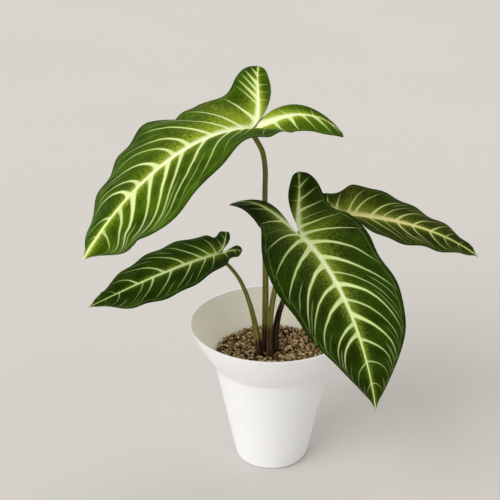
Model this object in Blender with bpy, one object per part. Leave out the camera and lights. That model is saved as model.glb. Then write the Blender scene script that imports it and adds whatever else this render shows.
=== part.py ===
"""Potted arrowhead-leaved aroid: four veined blades on their stalks in a white pot of pumice gravel.

Metres, +Z up. The origin is the centre of the pot's base, on the surface that it stands on, and
the front of the plant faces -Y. The plant only stands in its pot, so nothing here moves.
"""
from dataclasses import dataclass

import bmesh
import bpy
import numpy as np
from mathutils import Vector, noise

MM = 0.001
CLEAR = 0.3 * MM                     # gap kept wherever two pieces touch

# Pot: a tapered body, a shoulder, and a funnel collar above it.
POT_BASE_RADIUS = 37.5 * MM
POT_FOOT_ROUND = 3.0 * MM
SHOULDER_HEIGHT = 112 * MM
SHOULDER_RADIUS = 60 * MM
RIM_HEIGHT = 155 * MM
COLLAR_FLARE = 0.736                 # slope of the collar where it leaves the shoulder
COLLAR_BEND = 5.3 * MM               # how far the collar steepens by the rim
COLLAR_BEND_HEIGHT = 40 * MM
POT_WALL = 2.5 * MM
POT_FLOOR = 4.0 * MM
POT_SEGMENTS = 56
DRAIN_HOLES = 5
DRAIN_RADIUS = 4.0 * MM
DRAIN_CIRCLE = 22 * MM

# Gravel: fills the pot to a little above the shoulder, with pebbles raised from its top.
GRAVEL_LEVEL = 118.5 * MM
GRAVEL_CROWN = 1.5 * MM              # how much the middle stands above the edge
PEBBLE_SIZE = 5.0 * MM
PEBBLE_RELIEF = 1.6 * MM
GRAVEL_SECTORS = 60
GRAVEL_RINGS = 17
SOCKET_DEPTH = 14 * MM               # the stalks stand this deep in their holes

# Leaf blade, as shares of the length from the stalk to the tip: how far along, and how far out.
# A blade's own sizes stretch these outlines.
OUTER_MARGIN = ((1.0, 0.0), (0.955, 0.020), (0.90, 0.062), (0.80, 0.148), (0.68, 0.222),
                (0.54, 0.272), (0.40, 0.293), (0.26, 0.289), (0.12, 0.266), (0.0, 0.228),
                (-0.085, 0.200), (-0.165, 0.206), (-0.245, 0.222), (-0.305, 0.215), (-0.335, 0.180))
INNER_MARGIN = ((0.0, 0.0), (-0.04, 0.010), (-0.08, 0.019), (-0.13, 0.025), (-0.19, 0.038),
                (-0.245, 0.062), (-0.295, 0.105), (-0.327, 0.145), (-0.335, 0.180))
LOBE_RIB = ((0.0, 0.0), (-0.07, 0.022), (-0.15, 0.062), (-0.22, 0.105), (-0.29, 0.152),
            (-0.335, 0.180))
LOBE_REACH = 0.335
STATIONS = (-0.335, 0.0, 0.3, 0.6, 0.83, 0.95)    # where a blade's widths are given, lobe to tip
INNER_SWELL = 0.04                   # how far a half's `inner` moves the lobe's inner margin

BLADE_THICKNESS = 0.8 * MM
RIB_DEPTH = 1.6 * MM                 # the midrib below the blade, where it meets the stalk
RIB_WIDTH = 0.16                     # share of the half blade over which the rib tapers out
MAIN_ROWS = 22                       # rows of faces from the tip to the stalk
LOBE_ROWS = 9
SIDE_ROWS = 6                        # rows from the midrib out to the margin
INNER_ROWS = 3

STALK_SIDES = 12
STALK_STEPS = 22


@dataclass
class Half:
    """One side of a blade. Angles in degrees, lengths as shares."""
    fold: tuple        # lift of the half at the stalk, the middle and the tip
    widths: tuple      # width against the usual outline, at STATIONS
    inner: float       # swelling of the lobe's inner margin
    lobe_length: float
    spread: float      # the lobe's turn away from the axis
    lift: float        # the lobe's rise
    sag: float         # the fall of the lobe's own tip, taken off the rise
    roll: float        # the lobe's turn about its own axis


@dataclass
class Blade:
    """Where a blade leaves its stalk, its length, and how it points and bends."""
    name: str
    junction: tuple    # millimetres
    length: float      # millimetres
    heading: float     # degrees from +X, anticlockwise seen from above
    pitch: float       # degrees above level at the stalk
    droop: tuple       # degrees of fall by the tip, even and growing
    sweep: float       # degrees of sideways turn by the tip
    curl: tuple        # degrees that each half bends down on its way out, at the stalk and the tip
    wave: float        # millimetres of ripple at the margin
    left: Half
    right: Half


@dataclass
class Stalk:
    """A leaf stalk: its course in millimetres and its radius at the gravel and at the blade."""
    name: str
    blade: str
    course: tuple
    foot_radius: float
    top_radius: float


BLADES = (
    Blade("leaf_a", (-23.5, -11.8, 368.2), 238, 226, 14, (56, 2), -2, (29, 11), 1.6,
          left=Half((14, 19, -48), (1.14, 0.87, 0.87, 0.99, 1.16, 2.3), 1.2, 0.95, 13, 100, 74, -33),
          right=Half((24, -7, -25), (1.14, 1.28, 1.28, 1.12, 1.17, 1.5), 0, 0.91, -4, 76, 38, -3)),
    Blade("leaf_b", (20.2, -52.0, 274.2), 204, -72, -1, (46, 22), -2, (15, 20), 1.2,
          left=Half((23, 11, 13), (1.00, 1.13, 0.88, 0.98, 1.01, 1.14), 0, 0.96, -10, 53, 23, -10),
          right=Half((26, 14, 13), (1.02, 0.95, 1.05, 0.97, 0.92, 0.96), 0.3, 1.14, 0, 46, 38, -23)),
    Blade("leaf_c", (78.1, 20.0, 263.1), 140, -16, -1, (13, 24), 3, (7, 27), 1.2,
          left=Half((36, 12, 15), (0.98, 1.18, 1.08, 0.92, 1.01, 1.6), 0.2, 0.97, 6, 2, -1, -32),
          right=Half((22, 1, -3), (1.00, 0.99, 1.08, 0.89, 1.01, 1.3), 0.2, 1.00, 3, 0, 6, 0)),
    Blade("leaf_d", (-57.3, -13.0, 239.8), 136, 194, -9, (20, -8), -2, (13, 27), 1.0,
          left=Half((9, -1, -1), (0.93, 0.94, 0.97, 0.97, 1.14, 1.15), 1.2, 0.70, 22, 44, 22, 7),
          right=Half((17, 16, 11), (1.08, 1.06, 1.06, 1.05, 0.99, 1.2), 0, 0.70, 17, 43, 25, -20)),
)

STALKS = (
    Stalk("petiole_a", "leaf_a", ((-7.0, 4.5, 120), (-6.9, 4.5, 200), (-7.8, 4.3, 251), (-8.1, 3.2, 291),
                                  (-8.2, 0.3, 321), (-10.6, -3.6, 339), (-14.6, -7.2, 350)), 3.6, 2.5),
    Stalk("petiole_b", "leaf_b", ((-2.8, -5.5, 120), (-2.9, -6.5, 158), (-1.2, -9.0, 182),
                                  (2.5, -16.0, 208), (9.5, -32.0, 242)), 3.6, 2.3),
    Stalk("petiole_c", "leaf_c", ((3.6, 2.6, 120), (4.2, 3.0, 145), (10.2, 5.2, 172),
                                  (26.0, 9.0, 206), (50.0, 14.0, 237)), 4.2, 2.0),
    Stalk("petiole_d", "leaf_d", ((-13.8, -4.2, 120), (-15.9, -4.5, 141), (-22.5, -6.0, 175),
                                  (-32.0, -8.0, 204), (-43.0, -10.5, 223)), 3.8, 1.75),
)

# Colour, roughness and metallic value of each kind of piece.
FINISHES = {
    "pot": ((0.86, 0.86, 0.85), 0.42),
    "gravel": ((0.36, 0.29, 0.21), 0.95),
    "stalk": ((0.17, 0.15, 0.05), 0.5),
    "leaf_a": ((0.10, 0.22, 0.04), 0.42),
    "leaf_b": ((0.03, 0.10, 0.02), 0.42),
    "leaf_c": ((0.06, 0.13, 0.03), 0.42),
    "leaf_d": ((0.04, 0.12, 0.02), 0.42),
}


def clear_scene():
    for item in list(bpy.data.objects):
        bpy.data.objects.remove(item, do_unlink=True)


def finish(name):
    """The material of one kind of piece, made once."""
    material = bpy.data.materials.get(name)
    if material:
        return material
    colour, roughness = FINISHES[name]
    material = bpy.data.materials.new(name)
    material.use_nodes = True
    shader = material.node_tree.nodes["Principled BSDF"]
    shader.inputs["Base Color"].default_value = (*colour, 1.0)
    shader.inputs["Roughness"].default_value = roughness
    shader.inputs["Metallic"].default_value = 0.0
    return material


def make_object(name, points, faces, material):
    """A smooth-shaded object from points and faces, its faces turned outwards."""
    mesh = bpy.data.meshes.new(name)
    mesh.from_pydata([tuple(point) for point in points], [], [tuple(face) for face in faces])
    bm = bmesh.new()
    bm.from_mesh(mesh)
    bmesh.ops.recalc_face_normals(bm, faces=bm.faces)
    bm.to_mesh(mesh)
    bm.free()
    mesh.shade_smooth()
    mesh.set_sharp_from_angle(angle=np.radians(35))
    item = bpy.data.objects.new(name, mesh)
    item.data.materials.append(finish(material))
    bpy.context.scene.collection.objects.link(item)
    return item


def smooth_curve(points, steps):
    """A Catmull-Rom curve through the points, with so many steps to each stretch."""
    points = np.asarray(points, float)
    ends = np.vstack([2 * points[0] - points[1], points, 2 * points[-1] - points[-2]])
    t = np.linspace(0, 1, steps, endpoint=False)[:, None]
    curve = []
    for a, b, c, d in zip(ends, ends[1:], ends[2:], ends[3:]):
        curve.append(0.5 * (2 * b + (c - a) * t + (2 * a - 5 * b + 4 * c - d) * t ** 2
                            + (3 * b - a - 3 * c + d) * t ** 3))
    return np.vstack(curve + [points[-1:]])


def lathe(name, profile, segments, material):
    """A closed ring of faces turned about Z from a closed outline of (radius, height)."""
    angles = np.linspace(0, 2 * np.pi, segments, endpoint=False)
    points = []
    rings = []
    for radius, height in profile:
        if radius < 1e-9:
            rings.append([len(points)])
            points.append((0.0, 0.0, height))
            continue
        rings.append(list(range(len(points), len(points) + segments)))
        points.extend((radius * np.cos(a), radius * np.sin(a), height) for a in angles)
    faces = []
    for low, high in zip(rings, rings[1:]):
        for i in range(segments):
            j = (i + 1) % segments
            corners = [low[i % len(low)], low[j % len(low)], high[j % len(high)], high[i % len(high)]]
            faces.append(list(dict.fromkeys(corners)))
    return make_object(name, points, faces, material)


# Pot

def pot_radius(height):
    """Outer radius at a height: a straight taper, then the funnel collar."""
    if height <= SHOULDER_HEIGHT:
        return POT_BASE_RADIUS + (SHOULDER_RADIUS - POT_BASE_RADIUS) * height / SHOULDER_HEIGHT
    above = height - SHOULDER_HEIGHT
    return SHOULDER_RADIUS + COLLAR_FLARE * above - COLLAR_BEND * (above / COLLAR_BEND_HEIGHT) ** 2


def pot_inner_radius(height):
    """Inner radius at a height: the wall's thickness is measured square to its slope."""
    slope = (pot_radius(height + MM) - pot_radius(height)) / MM
    return pot_radius(height) - POT_WALL * np.sqrt(1 + slope ** 2)


def pot_profile():
    """The outline of the wall, from the middle of the underside round to the middle of the floor."""
    outline = [(0.0, 0.0), (POT_BASE_RADIUS - POT_FOOT_ROUND, 0.0)]
    for angle in np.radians((30, 60, 90)):
        outline.append((POT_BASE_RADIUS - POT_FOOT_ROUND * (1 - np.sin(angle)),
                        POT_FOOT_ROUND * (1 - np.cos(angle))))
    collar = np.linspace(SHOULDER_HEIGHT, RIM_HEIGHT, 8)
    outline += [(pot_radius(height), height) for height in (SHOULDER_HEIGHT * 0.5, *collar)]
    outline.append((pot_radius(RIM_HEIGHT) - 0.45 * POT_WALL, RIM_HEIGHT + 0.7 * MM))
    outline += [(pot_inner_radius(height), height) for height in (*collar[:0:-1], SHOULDER_HEIGHT + MM)]
    outline.append((pot_inner_radius(SHOULDER_HEIGHT * 0.5), SHOULDER_HEIGHT * 0.5))
    outline.append((pot_inner_radius(POT_FLOOR), POT_FLOOR))
    outline.append((0.0, POT_FLOOR))
    return outline


def cylinder_cutter(name, centre, radius, low, high):
    """An upright cylinder that cuts a hole and is not part of the object."""
    angles = np.linspace(0, 2 * np.pi, 16, endpoint=False)
    ring = [(centre[0] + radius * np.cos(a), centre[1] + radius * np.sin(a)) for a in angles]
    points = [(x, y, low) for x, y in ring] + [(x, y, high) for x, y in ring]
    faces = [[i, (i + 1) % 16, 16 + (i + 1) % 16, 16 + i] for i in range(16)]
    faces += [list(range(16)), list(range(16, 32))]
    return make_object(name, points, faces, "gravel")


def cut_away(item, cutters):
    """Take the cutters out of an object and remove them."""
    for cutter in cutters:
        change = item.modifiers.new("hole", "BOOLEAN")
        change.operation = "DIFFERENCE"
        change.solver = "EXACT"
        change.object = cutter
    bpy.context.view_layer.update()
    depsgraph = bpy.context.evaluated_depsgraph_get()
    mesh = bpy.data.meshes.new_from_object(item.evaluated_get(depsgraph))
    item.modifiers.clear()
    item.data = mesh
    for cutter in cutters:
        bpy.data.objects.remove(cutter, do_unlink=True)


def make_pot():
    pot = lathe("pot", pot_profile(), POT_SEGMENTS, "pot")
    cutters = []
    for index in range(DRAIN_HOLES):
        angle = 2 * np.pi * (index + 0.31) / DRAIN_HOLES
        centre = (DRAIN_CIRCLE * np.cos(angle), DRAIN_CIRCLE * np.sin(angle))
        cutters.append(cylinder_cutter(f"drain_{index}", centre, DRAIN_RADIUS, -MM, POT_FLOOR + MM))
    cut_away(pot, cutters)


# Gravel

def pebble_height(x, y):
    """Relief of the gravel: one rounded pebble to each cell of a Voronoi pattern."""
    distances, _ = noise.voronoi(Vector((x, y, 0.0)) / PEBBLE_SIZE, distance_metric="DISTANCE")
    edge = min(1.0, (distances[1] - distances[0]) * 2.2)
    return PEBBLE_RELIEF * edge * (1.0 - 0.5 * distances[0])


def make_gravel():
    """A filling that follows the pot's inner wall, closed at the bottom, pebbled on top."""
    top_edge = pot_inner_radius(GRAVEL_LEVEL) - 2 * CLEAR
    angles = np.linspace(0, 2 * np.pi, GRAVEL_SECTORS, endpoint=False)
    points = [(0.0, 0.0, GRAVEL_LEVEL + GRAVEL_CROWN + pebble_height(0.0, 0.0))]
    for ring in range(1, GRAVEL_RINGS + 1):
        share = ring / GRAVEL_RINGS
        turn = 0.5 * (ring % 2) * (angles[1] - angles[0]) if ring < GRAVEL_RINGS else 0.0
        for angle in angles + turn:
            x = top_edge * share * np.cos(angle)
            y = top_edge * share * np.sin(angle)
            height = GRAVEL_LEVEL + GRAVEL_CROWN * (1 - share ** 2)
            height += pebble_height(x, y) if ring < GRAVEL_RINGS else 0.0
            points.append((x, y, height))
    side = [SHOULDER_HEIGHT + MM, SHOULDER_HEIGHT * 0.5, POT_FLOOR + CLEAR]
    for height in side:
        radius = pot_inner_radius(height) - 1.4 * CLEAR
        points.extend((radius * np.cos(angle), radius * np.sin(angle), height) for angle in angles)
    points.append((0.0, 0.0, POT_FLOOR + CLEAR))
    faces = [(0, 1 + i, 1 + (i + 1) % GRAVEL_SECTORS) for i in range(GRAVEL_SECTORS)]
    rings = GRAVEL_RINGS + len(side)
    for ring in range(rings - 1):
        low = 1 + ring * GRAVEL_SECTORS
        high = low + GRAVEL_SECTORS
        lean = ring % 2
        for i in range(GRAVEL_SECTORS):
            j = (i + 1) % GRAVEL_SECTORS
            if lean:
                faces += [(low + i, high + i, low + j), (low + j, high + i, high + j)]
            else:
                faces += [(low + i, high + i, high + j), (low + i, high + j, low + j)]
    last = 1 + (rings - 1) * GRAVEL_SECTORS
    faces += [(last + i, len(points) - 1, last + (i + 1) % GRAVEL_SECTORS) for i in range(GRAVEL_SECTORS)]
    gravel = make_object("gravel", points, faces, "gravel")
    cutters = []
    for stalk in STALKS:
        x, y, _ = stalk.course[0]
        radius = stalk.foot_radius * MM + 2 * CLEAR
        low = GRAVEL_LEVEL - SOCKET_DEPTH - CLEAR
        cutters.append(cylinder_cutter(f"hole_{stalk.name}", (x * MM, y * MM), radius, low,
                                       GRAVEL_LEVEL + 10 * MM))
    cut_away(gravel, cutters)


# Leaf blades

def eased(u, stations, values):
    """Values between stations, eased so that they join without a corner."""
    stations = np.asarray(stations)
    values = np.asarray(values)
    cell = np.clip(np.searchsorted(stations, u) - 1, 0, len(stations) - 2)
    t = np.clip((u - stations[cell]) / (stations[cell + 1] - stations[cell]), 0, 1)
    return values[cell] + (values[cell + 1] - values[cell]) * t * t * (3 - 2 * t)


def blade_axis(along, blade):
    """The midrib at each share of the length: its point, tangent, left and upward directions."""
    steps = np.linspace(0, 1, 101)
    pitch = np.radians(blade.pitch - blade.droop[0] * steps - blade.droop[1] * steps ** 2)
    heading = np.radians(blade.heading + blade.sweep * steps)
    tangent = np.stack([np.cos(pitch) * np.cos(heading), np.cos(pitch) * np.sin(heading),
                        np.sin(pitch)], axis=-1)
    stride = (tangent[1:] + tangent[:-1]) * 0.5 * steps[1]
    course = np.vstack([np.zeros(3), np.cumsum(stride, axis=0)])
    point = np.stack([np.interp(along, steps, course[:, k]) for k in range(3)], axis=-1)
    forward = np.stack([np.interp(along, steps, tangent[:, k]) for k in range(3)], axis=-1)
    forward /= np.linalg.norm(forward, axis=-1, keepdims=True)
    left = np.cross((0.0, 0.0, 1.0), forward)
    left /= np.linalg.norm(left, axis=-1, keepdims=True)
    return point, forward, left, np.cross(forward, left)


def turned(vectors, axis, angle):
    """Vectors turned about an axis by an angle each (Rodrigues' rule)."""
    cosine = np.cos(angle)[:, None]
    sine = np.sin(angle)[:, None]
    along = (vectors @ axis)[:, None] * axis
    return vectors * cosine + np.cross(axis, vectors) * sine + along * (1 - cosine)


def place_on_blade(flat, side, blade):
    """Points of the flat half outline (along, out) bent into the blade's real form, in metres.

    Each point leaves the midrib at the half's fold angle and curls down on its way out. Behind
    the stalk it then turns with its lobe, by more the further back it lies.
    """
    half = blade.left if side > 0 else blade.right
    along = flat[:, 0]
    ahead = np.clip(along, 0, None)
    rib_out, inner_out = lobe_lines(along)
    inwards = np.clip((rib_out - flat[:, 1]) / np.maximum(rib_out - inner_out, 1e-4), 0, 1)
    swell = INNER_SWELL * half.inner * np.sin(np.pi * np.clip(-along / LOBE_REACH, 0, 1) ** 0.8)
    swell = np.minimum(swell, 0.8 * inner_out)
    out = flat[:, 1] * eased(along, STATIONS, half.widths) - inwards * swell
    point, forward, left, up = blade_axis(ahead, blade)
    base, middle, tip = half.fold
    fold = (base * (1 - ahead) * (1 - 2 * ahead) + 4 * middle * ahead * (1 - ahead)
            - tip * ahead * (1 - 2 * ahead))
    curl = blade.curl[0] + (blade.curl[1] - blade.curl[0]) * ahead
    reach = np.linspace(0, 1, 9)[None, :]
    angle = np.radians(fold[:, None] - curl[:, None] * reach * out[:, None] / 0.29)
    level = (np.cos(angle[:, 1:]) + np.cos(angle[:, :-1])).sum(axis=1) * out / 16
    rise = (np.sin(angle[:, 1:]) + np.sin(angle[:, :-1])).sum(axis=1) * out / 16
    behind = np.clip(along, None, 0) * half.lobe_length
    place = point + side * level[:, None] * left + rise[:, None] * up + behind[:, None] * forward
    lobe = along < 0
    if lobe.any():
        share = np.clip(-along[lobe] / LOBE_REACH, 0, 1.1)
        ahead_axis, left_axis, up_axis = forward[lobe][0], left[lobe][0], up[lobe][0]
        arm = turned(place[lobe], ahead_axis, side * np.radians(half.roll) * share)
        arm = turned(arm, up_axis, -side * np.radians(half.spread) * share)
        climb = np.radians(half.lift) * share - np.radians(half.sag) * share ** 2
        place[lobe] = turned(arm, left_axis, climb)
    return place * blade.length * MM + np.array(blade.junction) * MM


def lobe_lines(along):
    """How far out the lobe's rib and its inner margin lie at each share of the length."""
    lines = []
    for line in (LOBE_RIB, INNER_MARGIN):
        curve = smooth_curve(line, 6)
        lines.append(np.interp(-along, -curve[:, 0], curve[:, 1]))
    return lines


def outline_width(along):
    """Half width of the flat outline at each share of the length."""
    outline = smooth_curve(OUTER_MARGIN, 8)[::-1]
    return np.interp(along, outline[:, 0], outline[:, 1])


def main_strip():
    """Flat rows from the rib out to the outer margin, from the tip back to the end of the lobe.

    Every row follows the way a side vein takes: it leaves the rib and runs towards the tip.
    """
    at_rib = np.linspace(1, 0, MAIN_ROWS + 1)
    advance = eased(at_rib, (0.0, 0.3, 0.6, 0.85, 1.0), (0.13, 0.19, 0.17, 0.075, 0.0))
    at_margin = at_rib + advance
    rib = np.stack([at_rib, np.zeros_like(at_rib)], axis=-1)
    share = np.linspace(0, 1, LOBE_ROWS + 1)[1:]
    lobe_rib = smooth_curve(LOBE_RIB, 6)
    steps = np.linspace(0, 1, len(lobe_rib))
    lobe_course = np.stack([np.interp(share, steps, lobe_rib[:, k]) for k in range(2)], axis=-1)
    lobe_margin = advance[-1] - (advance[-1] + LOBE_REACH) * (1 - (1 - share) ** 2)
    rib = np.vstack([rib, lobe_course])
    at_margin = np.concatenate([at_margin, lobe_margin])
    margin = np.stack([at_margin, outline_width(at_margin)], axis=-1)
    margin[-1] = OUTER_MARGIN[-1]
    return rows_between(rib, margin, SIDE_ROWS)


def inner_strip():
    """Flat rows from the lobe's rib to its inner margin, from the stalk to the end of the lobe."""
    share = np.linspace(0, 1, LOBE_ROWS + 1)
    lobe_rib = smooth_curve(LOBE_RIB, 6)
    inner = smooth_curve(INNER_MARGIN, 6)
    rib = np.stack([np.interp(share, np.linspace(0, 1, len(lobe_rib)), lobe_rib[:, k])
                    for k in range(2)], axis=-1)
    edge = np.stack([np.interp(share ** 0.9, np.linspace(0, 1, len(inner)), inner[:, k])
                     for k in range(2)], axis=-1)
    return rows_between(rib, edge, INNER_ROWS)


def rows_between(rib, margin, count):
    """A grid of points from the rib to the margin, each row bowed a little towards the stalk."""
    t = np.linspace(0, 1, count + 1)[None, :, None]
    chord = (margin - rib)[:, None, :]
    bow = np.stack([-np.abs(chord[..., 1]), np.zeros_like(chord[..., 1])], axis=-1)
    return rib[:, None, :] + chord * t + bow * 0.35 * t * (1 - t)


def margin_wave(flat, side, blade):
    """Ripple of the margin, growing from the rib outwards, in metres along the blade's normal."""
    share = np.clip(flat[:, 1] / np.maximum(outline_width(flat[:, 0]), 0.03), 0, 1)
    phase = 1.3 * side + 0.7 * len(blade.name) + blade.heading
    return blade.wave * MM * share ** 2 * np.sin(flat[:, 0] * 26 + phase)


def half_blade(side, blade, points, spine):
    """Add one half's grids to the list of top points. Returns its faces and its margin."""
    main = main_strip()
    inner = inner_strip()
    grids = []
    for grid, shared in ((main, spine + [None] * LOBE_ROWS), (inner, None)):
        flat = grid.reshape(-1, 2)
        rows, columns = grid.shape[:2]
        numbers = np.full((rows, columns), -1)
        if shared is not None:
            for row, known in enumerate(shared):
                if known is not None:
                    numbers[row, 0] = known
            numbers[0, :] = spine[0]
        else:
            numbers[:, 0] = grids[0][MAIN_ROWS:, 0]
            numbers[0, :] = spine[-1]
            numbers[-1, :] = grids[0][-1, -1]
        for row in range(rows):
            for column in range(columns):
                if numbers[row, column] < 0:
                    numbers[row, column] = len(points)
                    points.append((flat[row * columns + column], side))
        if shared is not None:
            numbers[-1, :] = numbers[-1, -1]
        grids.append(numbers)
    return grids


def leaf_faces(grid, flip):
    """Triangles of a grid of point numbers, leaving out those that shrink to a line."""
    faces = []
    for row in range(grid.shape[0] - 1):
        for column in range(grid.shape[1] - 1):
            a, b = grid[row, column], grid[row, column + 1]
            c, d = grid[row + 1, column + 1], grid[row + 1, column]
            for face in ((a, b, c), (a, c, d)):
                if len(set(face)) == 3:
                    faces.append(face[::-1] if flip else face)
    return faces


def make_leaf(blade):
    """A thin closed blade: one sheet of triangles above, the same below, and a rim between."""
    spine = list(range(MAIN_ROWS + 1))
    flat = [((along, 0.0), 1) for along in np.linspace(1, 0, MAIN_ROWS + 1)]
    faces = []
    for side in (1, -1):
        for index, grid in enumerate(half_blade(side, blade, flat, spine)):
            faces += leaf_faces(grid, flip=(side > 0) != (index == 0))
    used = sorted({corner for face in faces for corner in face})
    renumber = {old: new for new, old in enumerate(used)}
    faces = [tuple(renumber[corner] for corner in face) for face in faces]
    outline = np.array([flat[index][0] for index in used])
    sides = np.array([flat[index][1] for index in used])
    top = np.zeros((len(used), 3))
    wave = np.zeros(len(used))
    for side in (1, -1):
        chosen = sides == side
        top[chosen] = place_on_blade(outline[chosen], side, blade)
        wave[chosen] = margin_wave(outline[chosen], side, blade)
    top += point_normals(top, faces) * wave[:, None]
    normals = point_normals(top, faces)
    bottom = top - normals * (BLADE_THICKNESS + rib_depth(outline))[:, None]
    build_shell(blade.name, top, bottom, faces)


def point_normals(points, faces):
    """The mean direction of the faces round each point."""
    corners = points[np.array(faces)]
    areas = np.cross(corners[:, 1] - corners[:, 0], corners[:, 2] - corners[:, 0])
    normals = np.zeros_like(points)
    for k in range(3):
        np.add.at(normals, np.array(faces)[:, k], areas)
    return normals / np.linalg.norm(normals, axis=1, keepdims=True)


def rib_depth(outline):
    """How far the midrib and the lobes' ribs stand below the blade at each point."""
    rib_out = lobe_lines(outline[:, 0])[0]
    off = np.abs(outline[:, 1] - rib_out) / RIB_WIDTH * 3.4
    fade = np.where(outline[:, 0] < 0, 1 + outline[:, 0] / LOBE_REACH, 1 - outline[:, 0])
    return RIB_DEPTH * np.clip(1 - off, 0, 1) * np.clip(fade, 0, 1)


def build_shell(name, top, bottom, faces):
    """Join the two sheets along their open edge."""
    count = len(top)
    edges = {}
    for face in faces:
        for start, end in zip(face, face[1:] + face[:1]):
            edges[(start, end)] = True
    rim = [edge for edge in edges if (edge[1], edge[0]) not in edges]
    shell = list(faces) + [tuple(count + corner for corner in face[::-1]) for face in faces]
    for start, end in rim:
        shell += [(start, count + start, count + end), (start, count + end, end)]
    return make_object(name, np.vstack([top, bottom]), shell, name)


# Leaf stalks

def stalk_course(stalk, blade, up):
    """The stalk's middle line: upright in its hole in the gravel, then up to just below its blade."""
    lower = np.array(stalk.course, float) * MM
    upright = [(*lower[0][:2], GRAVEL_LEVEL - share * SOCKET_DEPTH) for share in (1, 0.5, 0)]
    top = np.array(blade.junction) * MM - up * (BLADE_THICKNESS + RIB_DEPTH + 2 * CLEAR)
    return smooth_curve(np.vstack([upright, lower[1:], top]), 12)


def make_stalk(stalk):
    """A tapering tube along its course, closed by flat ends."""
    blade = next(blade for blade in BLADES if blade.name == stalk.blade)
    up = blade_axis(np.zeros(1), blade)[3][0]
    course = stalk_course(stalk, blade, up)
    length = np.concatenate([[0], np.cumsum(np.linalg.norm(np.diff(course, axis=0), axis=1))])
    at = np.linspace(0, length[-1], STALK_STEPS + 1)
    middle = np.stack([np.interp(at, length, course[:, k]) for k in range(3)], axis=-1)
    tangent = np.gradient(middle, axis=0)
    tangent[0] = (0, 0, 1)
    tangent[-1] = up
    tangent /= np.linalg.norm(tangent, axis=1, keepdims=True)
    side = np.cross(tangent, (0.0, 1.0, 0.0))
    side /= np.linalg.norm(side, axis=1, keepdims=True)
    other = np.cross(tangent, side)
    above = np.clip((middle[:, 2] - GRAVEL_LEVEL) / (middle[-1, 2] - GRAVEL_LEVEL), 0, 1)
    radius = (stalk.top_radius + (stalk.foot_radius - stalk.top_radius) * (1 - above) ** 1.6) * MM
    angles = np.linspace(0, 2 * np.pi, STALK_SIDES, endpoint=False)
    ring = np.cos(angles)[None, :, None] * side[:, None] + np.sin(angles)[None, :, None] * other[:, None]
    points = (middle[:, None] + radius[:, None, None] * ring).reshape(-1, 3)
    faces = []
    for step in range(STALK_STEPS):
        low = step * STALK_SIDES
        for i in range(STALK_SIDES):
            j = (i + 1) % STALK_SIDES
            a, b, c, d = low + i, low + j, low + STALK_SIDES + j, low + STALK_SIDES + i
            faces += [(a, b, c), (a, c, d)]
    faces.append(tuple(range(STALK_SIDES)))
    faces.append(tuple(range(STALK_STEPS * STALK_SIDES, (STALK_STEPS + 1) * STALK_SIDES)))
    make_object(stalk.name, points, faces, "stalk")


def main():
    clear_scene()
    make_pot()
    make_gravel()
    for blade in BLADES:
        make_leaf(blade)
    for stalk in STALKS:
        make_stalk(stalk)


main()
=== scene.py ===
"""Potted arrowhead-leaved aroid, dressed for looking at: veined blades, stalks, gravel and pot.

Metres, +Z up, in the frame of the plain model: the origin is the centre of the pot's base and the
front faces -Y. Run as a script it makes every piece at once; the panel makes them one by one.
"""
from dataclasses import dataclass

import bmesh
import bpy
import numpy as np
from bpy.props import FloatProperty, FloatVectorProperty, IntProperty, PointerProperty
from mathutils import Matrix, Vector


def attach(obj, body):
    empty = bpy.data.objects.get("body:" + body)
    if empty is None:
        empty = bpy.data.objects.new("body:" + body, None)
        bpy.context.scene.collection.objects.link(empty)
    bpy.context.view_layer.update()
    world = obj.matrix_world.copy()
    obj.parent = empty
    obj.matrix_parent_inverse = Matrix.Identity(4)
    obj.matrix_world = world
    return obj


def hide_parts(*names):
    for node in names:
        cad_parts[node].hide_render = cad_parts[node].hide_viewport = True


bl_info = {
    "name": "Potted Arrowhead Aroid",
    "version": (1, 0, 0),
    "blender": (4, 5, 0),
    "location": "View3D > Sidebar > Aroid",
    "description": "Makes a potted arrowhead-leaved plant with veined blades and pumice gravel",
    "category": "Add Mesh",
}

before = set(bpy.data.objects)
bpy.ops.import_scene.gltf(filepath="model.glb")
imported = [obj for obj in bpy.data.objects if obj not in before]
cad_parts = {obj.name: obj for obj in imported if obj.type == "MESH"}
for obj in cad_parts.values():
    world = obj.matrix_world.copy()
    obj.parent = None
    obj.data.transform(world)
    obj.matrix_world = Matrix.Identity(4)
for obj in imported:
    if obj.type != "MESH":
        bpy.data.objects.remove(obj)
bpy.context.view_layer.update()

MM = 0.001

# Pot: a tapered body, a shoulder, and a funnel collar above it.
POT_BASE_RADIUS = 37.5 * MM
POT_FOOT_ROUND = 3.0 * MM
SHOULDER_HEIGHT = 112 * MM
SHOULDER_RADIUS = 60 * MM
RIM_HEIGHT = 155 * MM
COLLAR_FLARE = 0.736                 # slope of the collar where it leaves the shoulder
COLLAR_BEND = 5.3 * MM               # how far the collar steepens by the rim
COLLAR_BEND_HEIGHT = 40 * MM
POT_WALL = 2.5 * MM
POT_FLOOR = 4.0 * MM
SHOULDER_SOFT = (1.2 * MM, 0.8 * MM)     # how far the wall's rings stay off the shoulder, below and above
RIM_ROUND = 0.7 * MM
FLOOR_CORNER = (3.0 * MM, 2.0 * MM)      # how far up the wall and inwards the floor's corner reaches
DRAIN_HOLES = 5
DRAIN_RADIUS = 4.0 * MM
DRAIN_CIRCLE = 22 * MM
DRAIN_TURN = 0.31                    # where the first hole is, in steps between holes
DRAIN_SIDES = 24
SMOOTH_BELOW = np.radians(28)        # the pot's edges are sharp where faces turn by more

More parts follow.
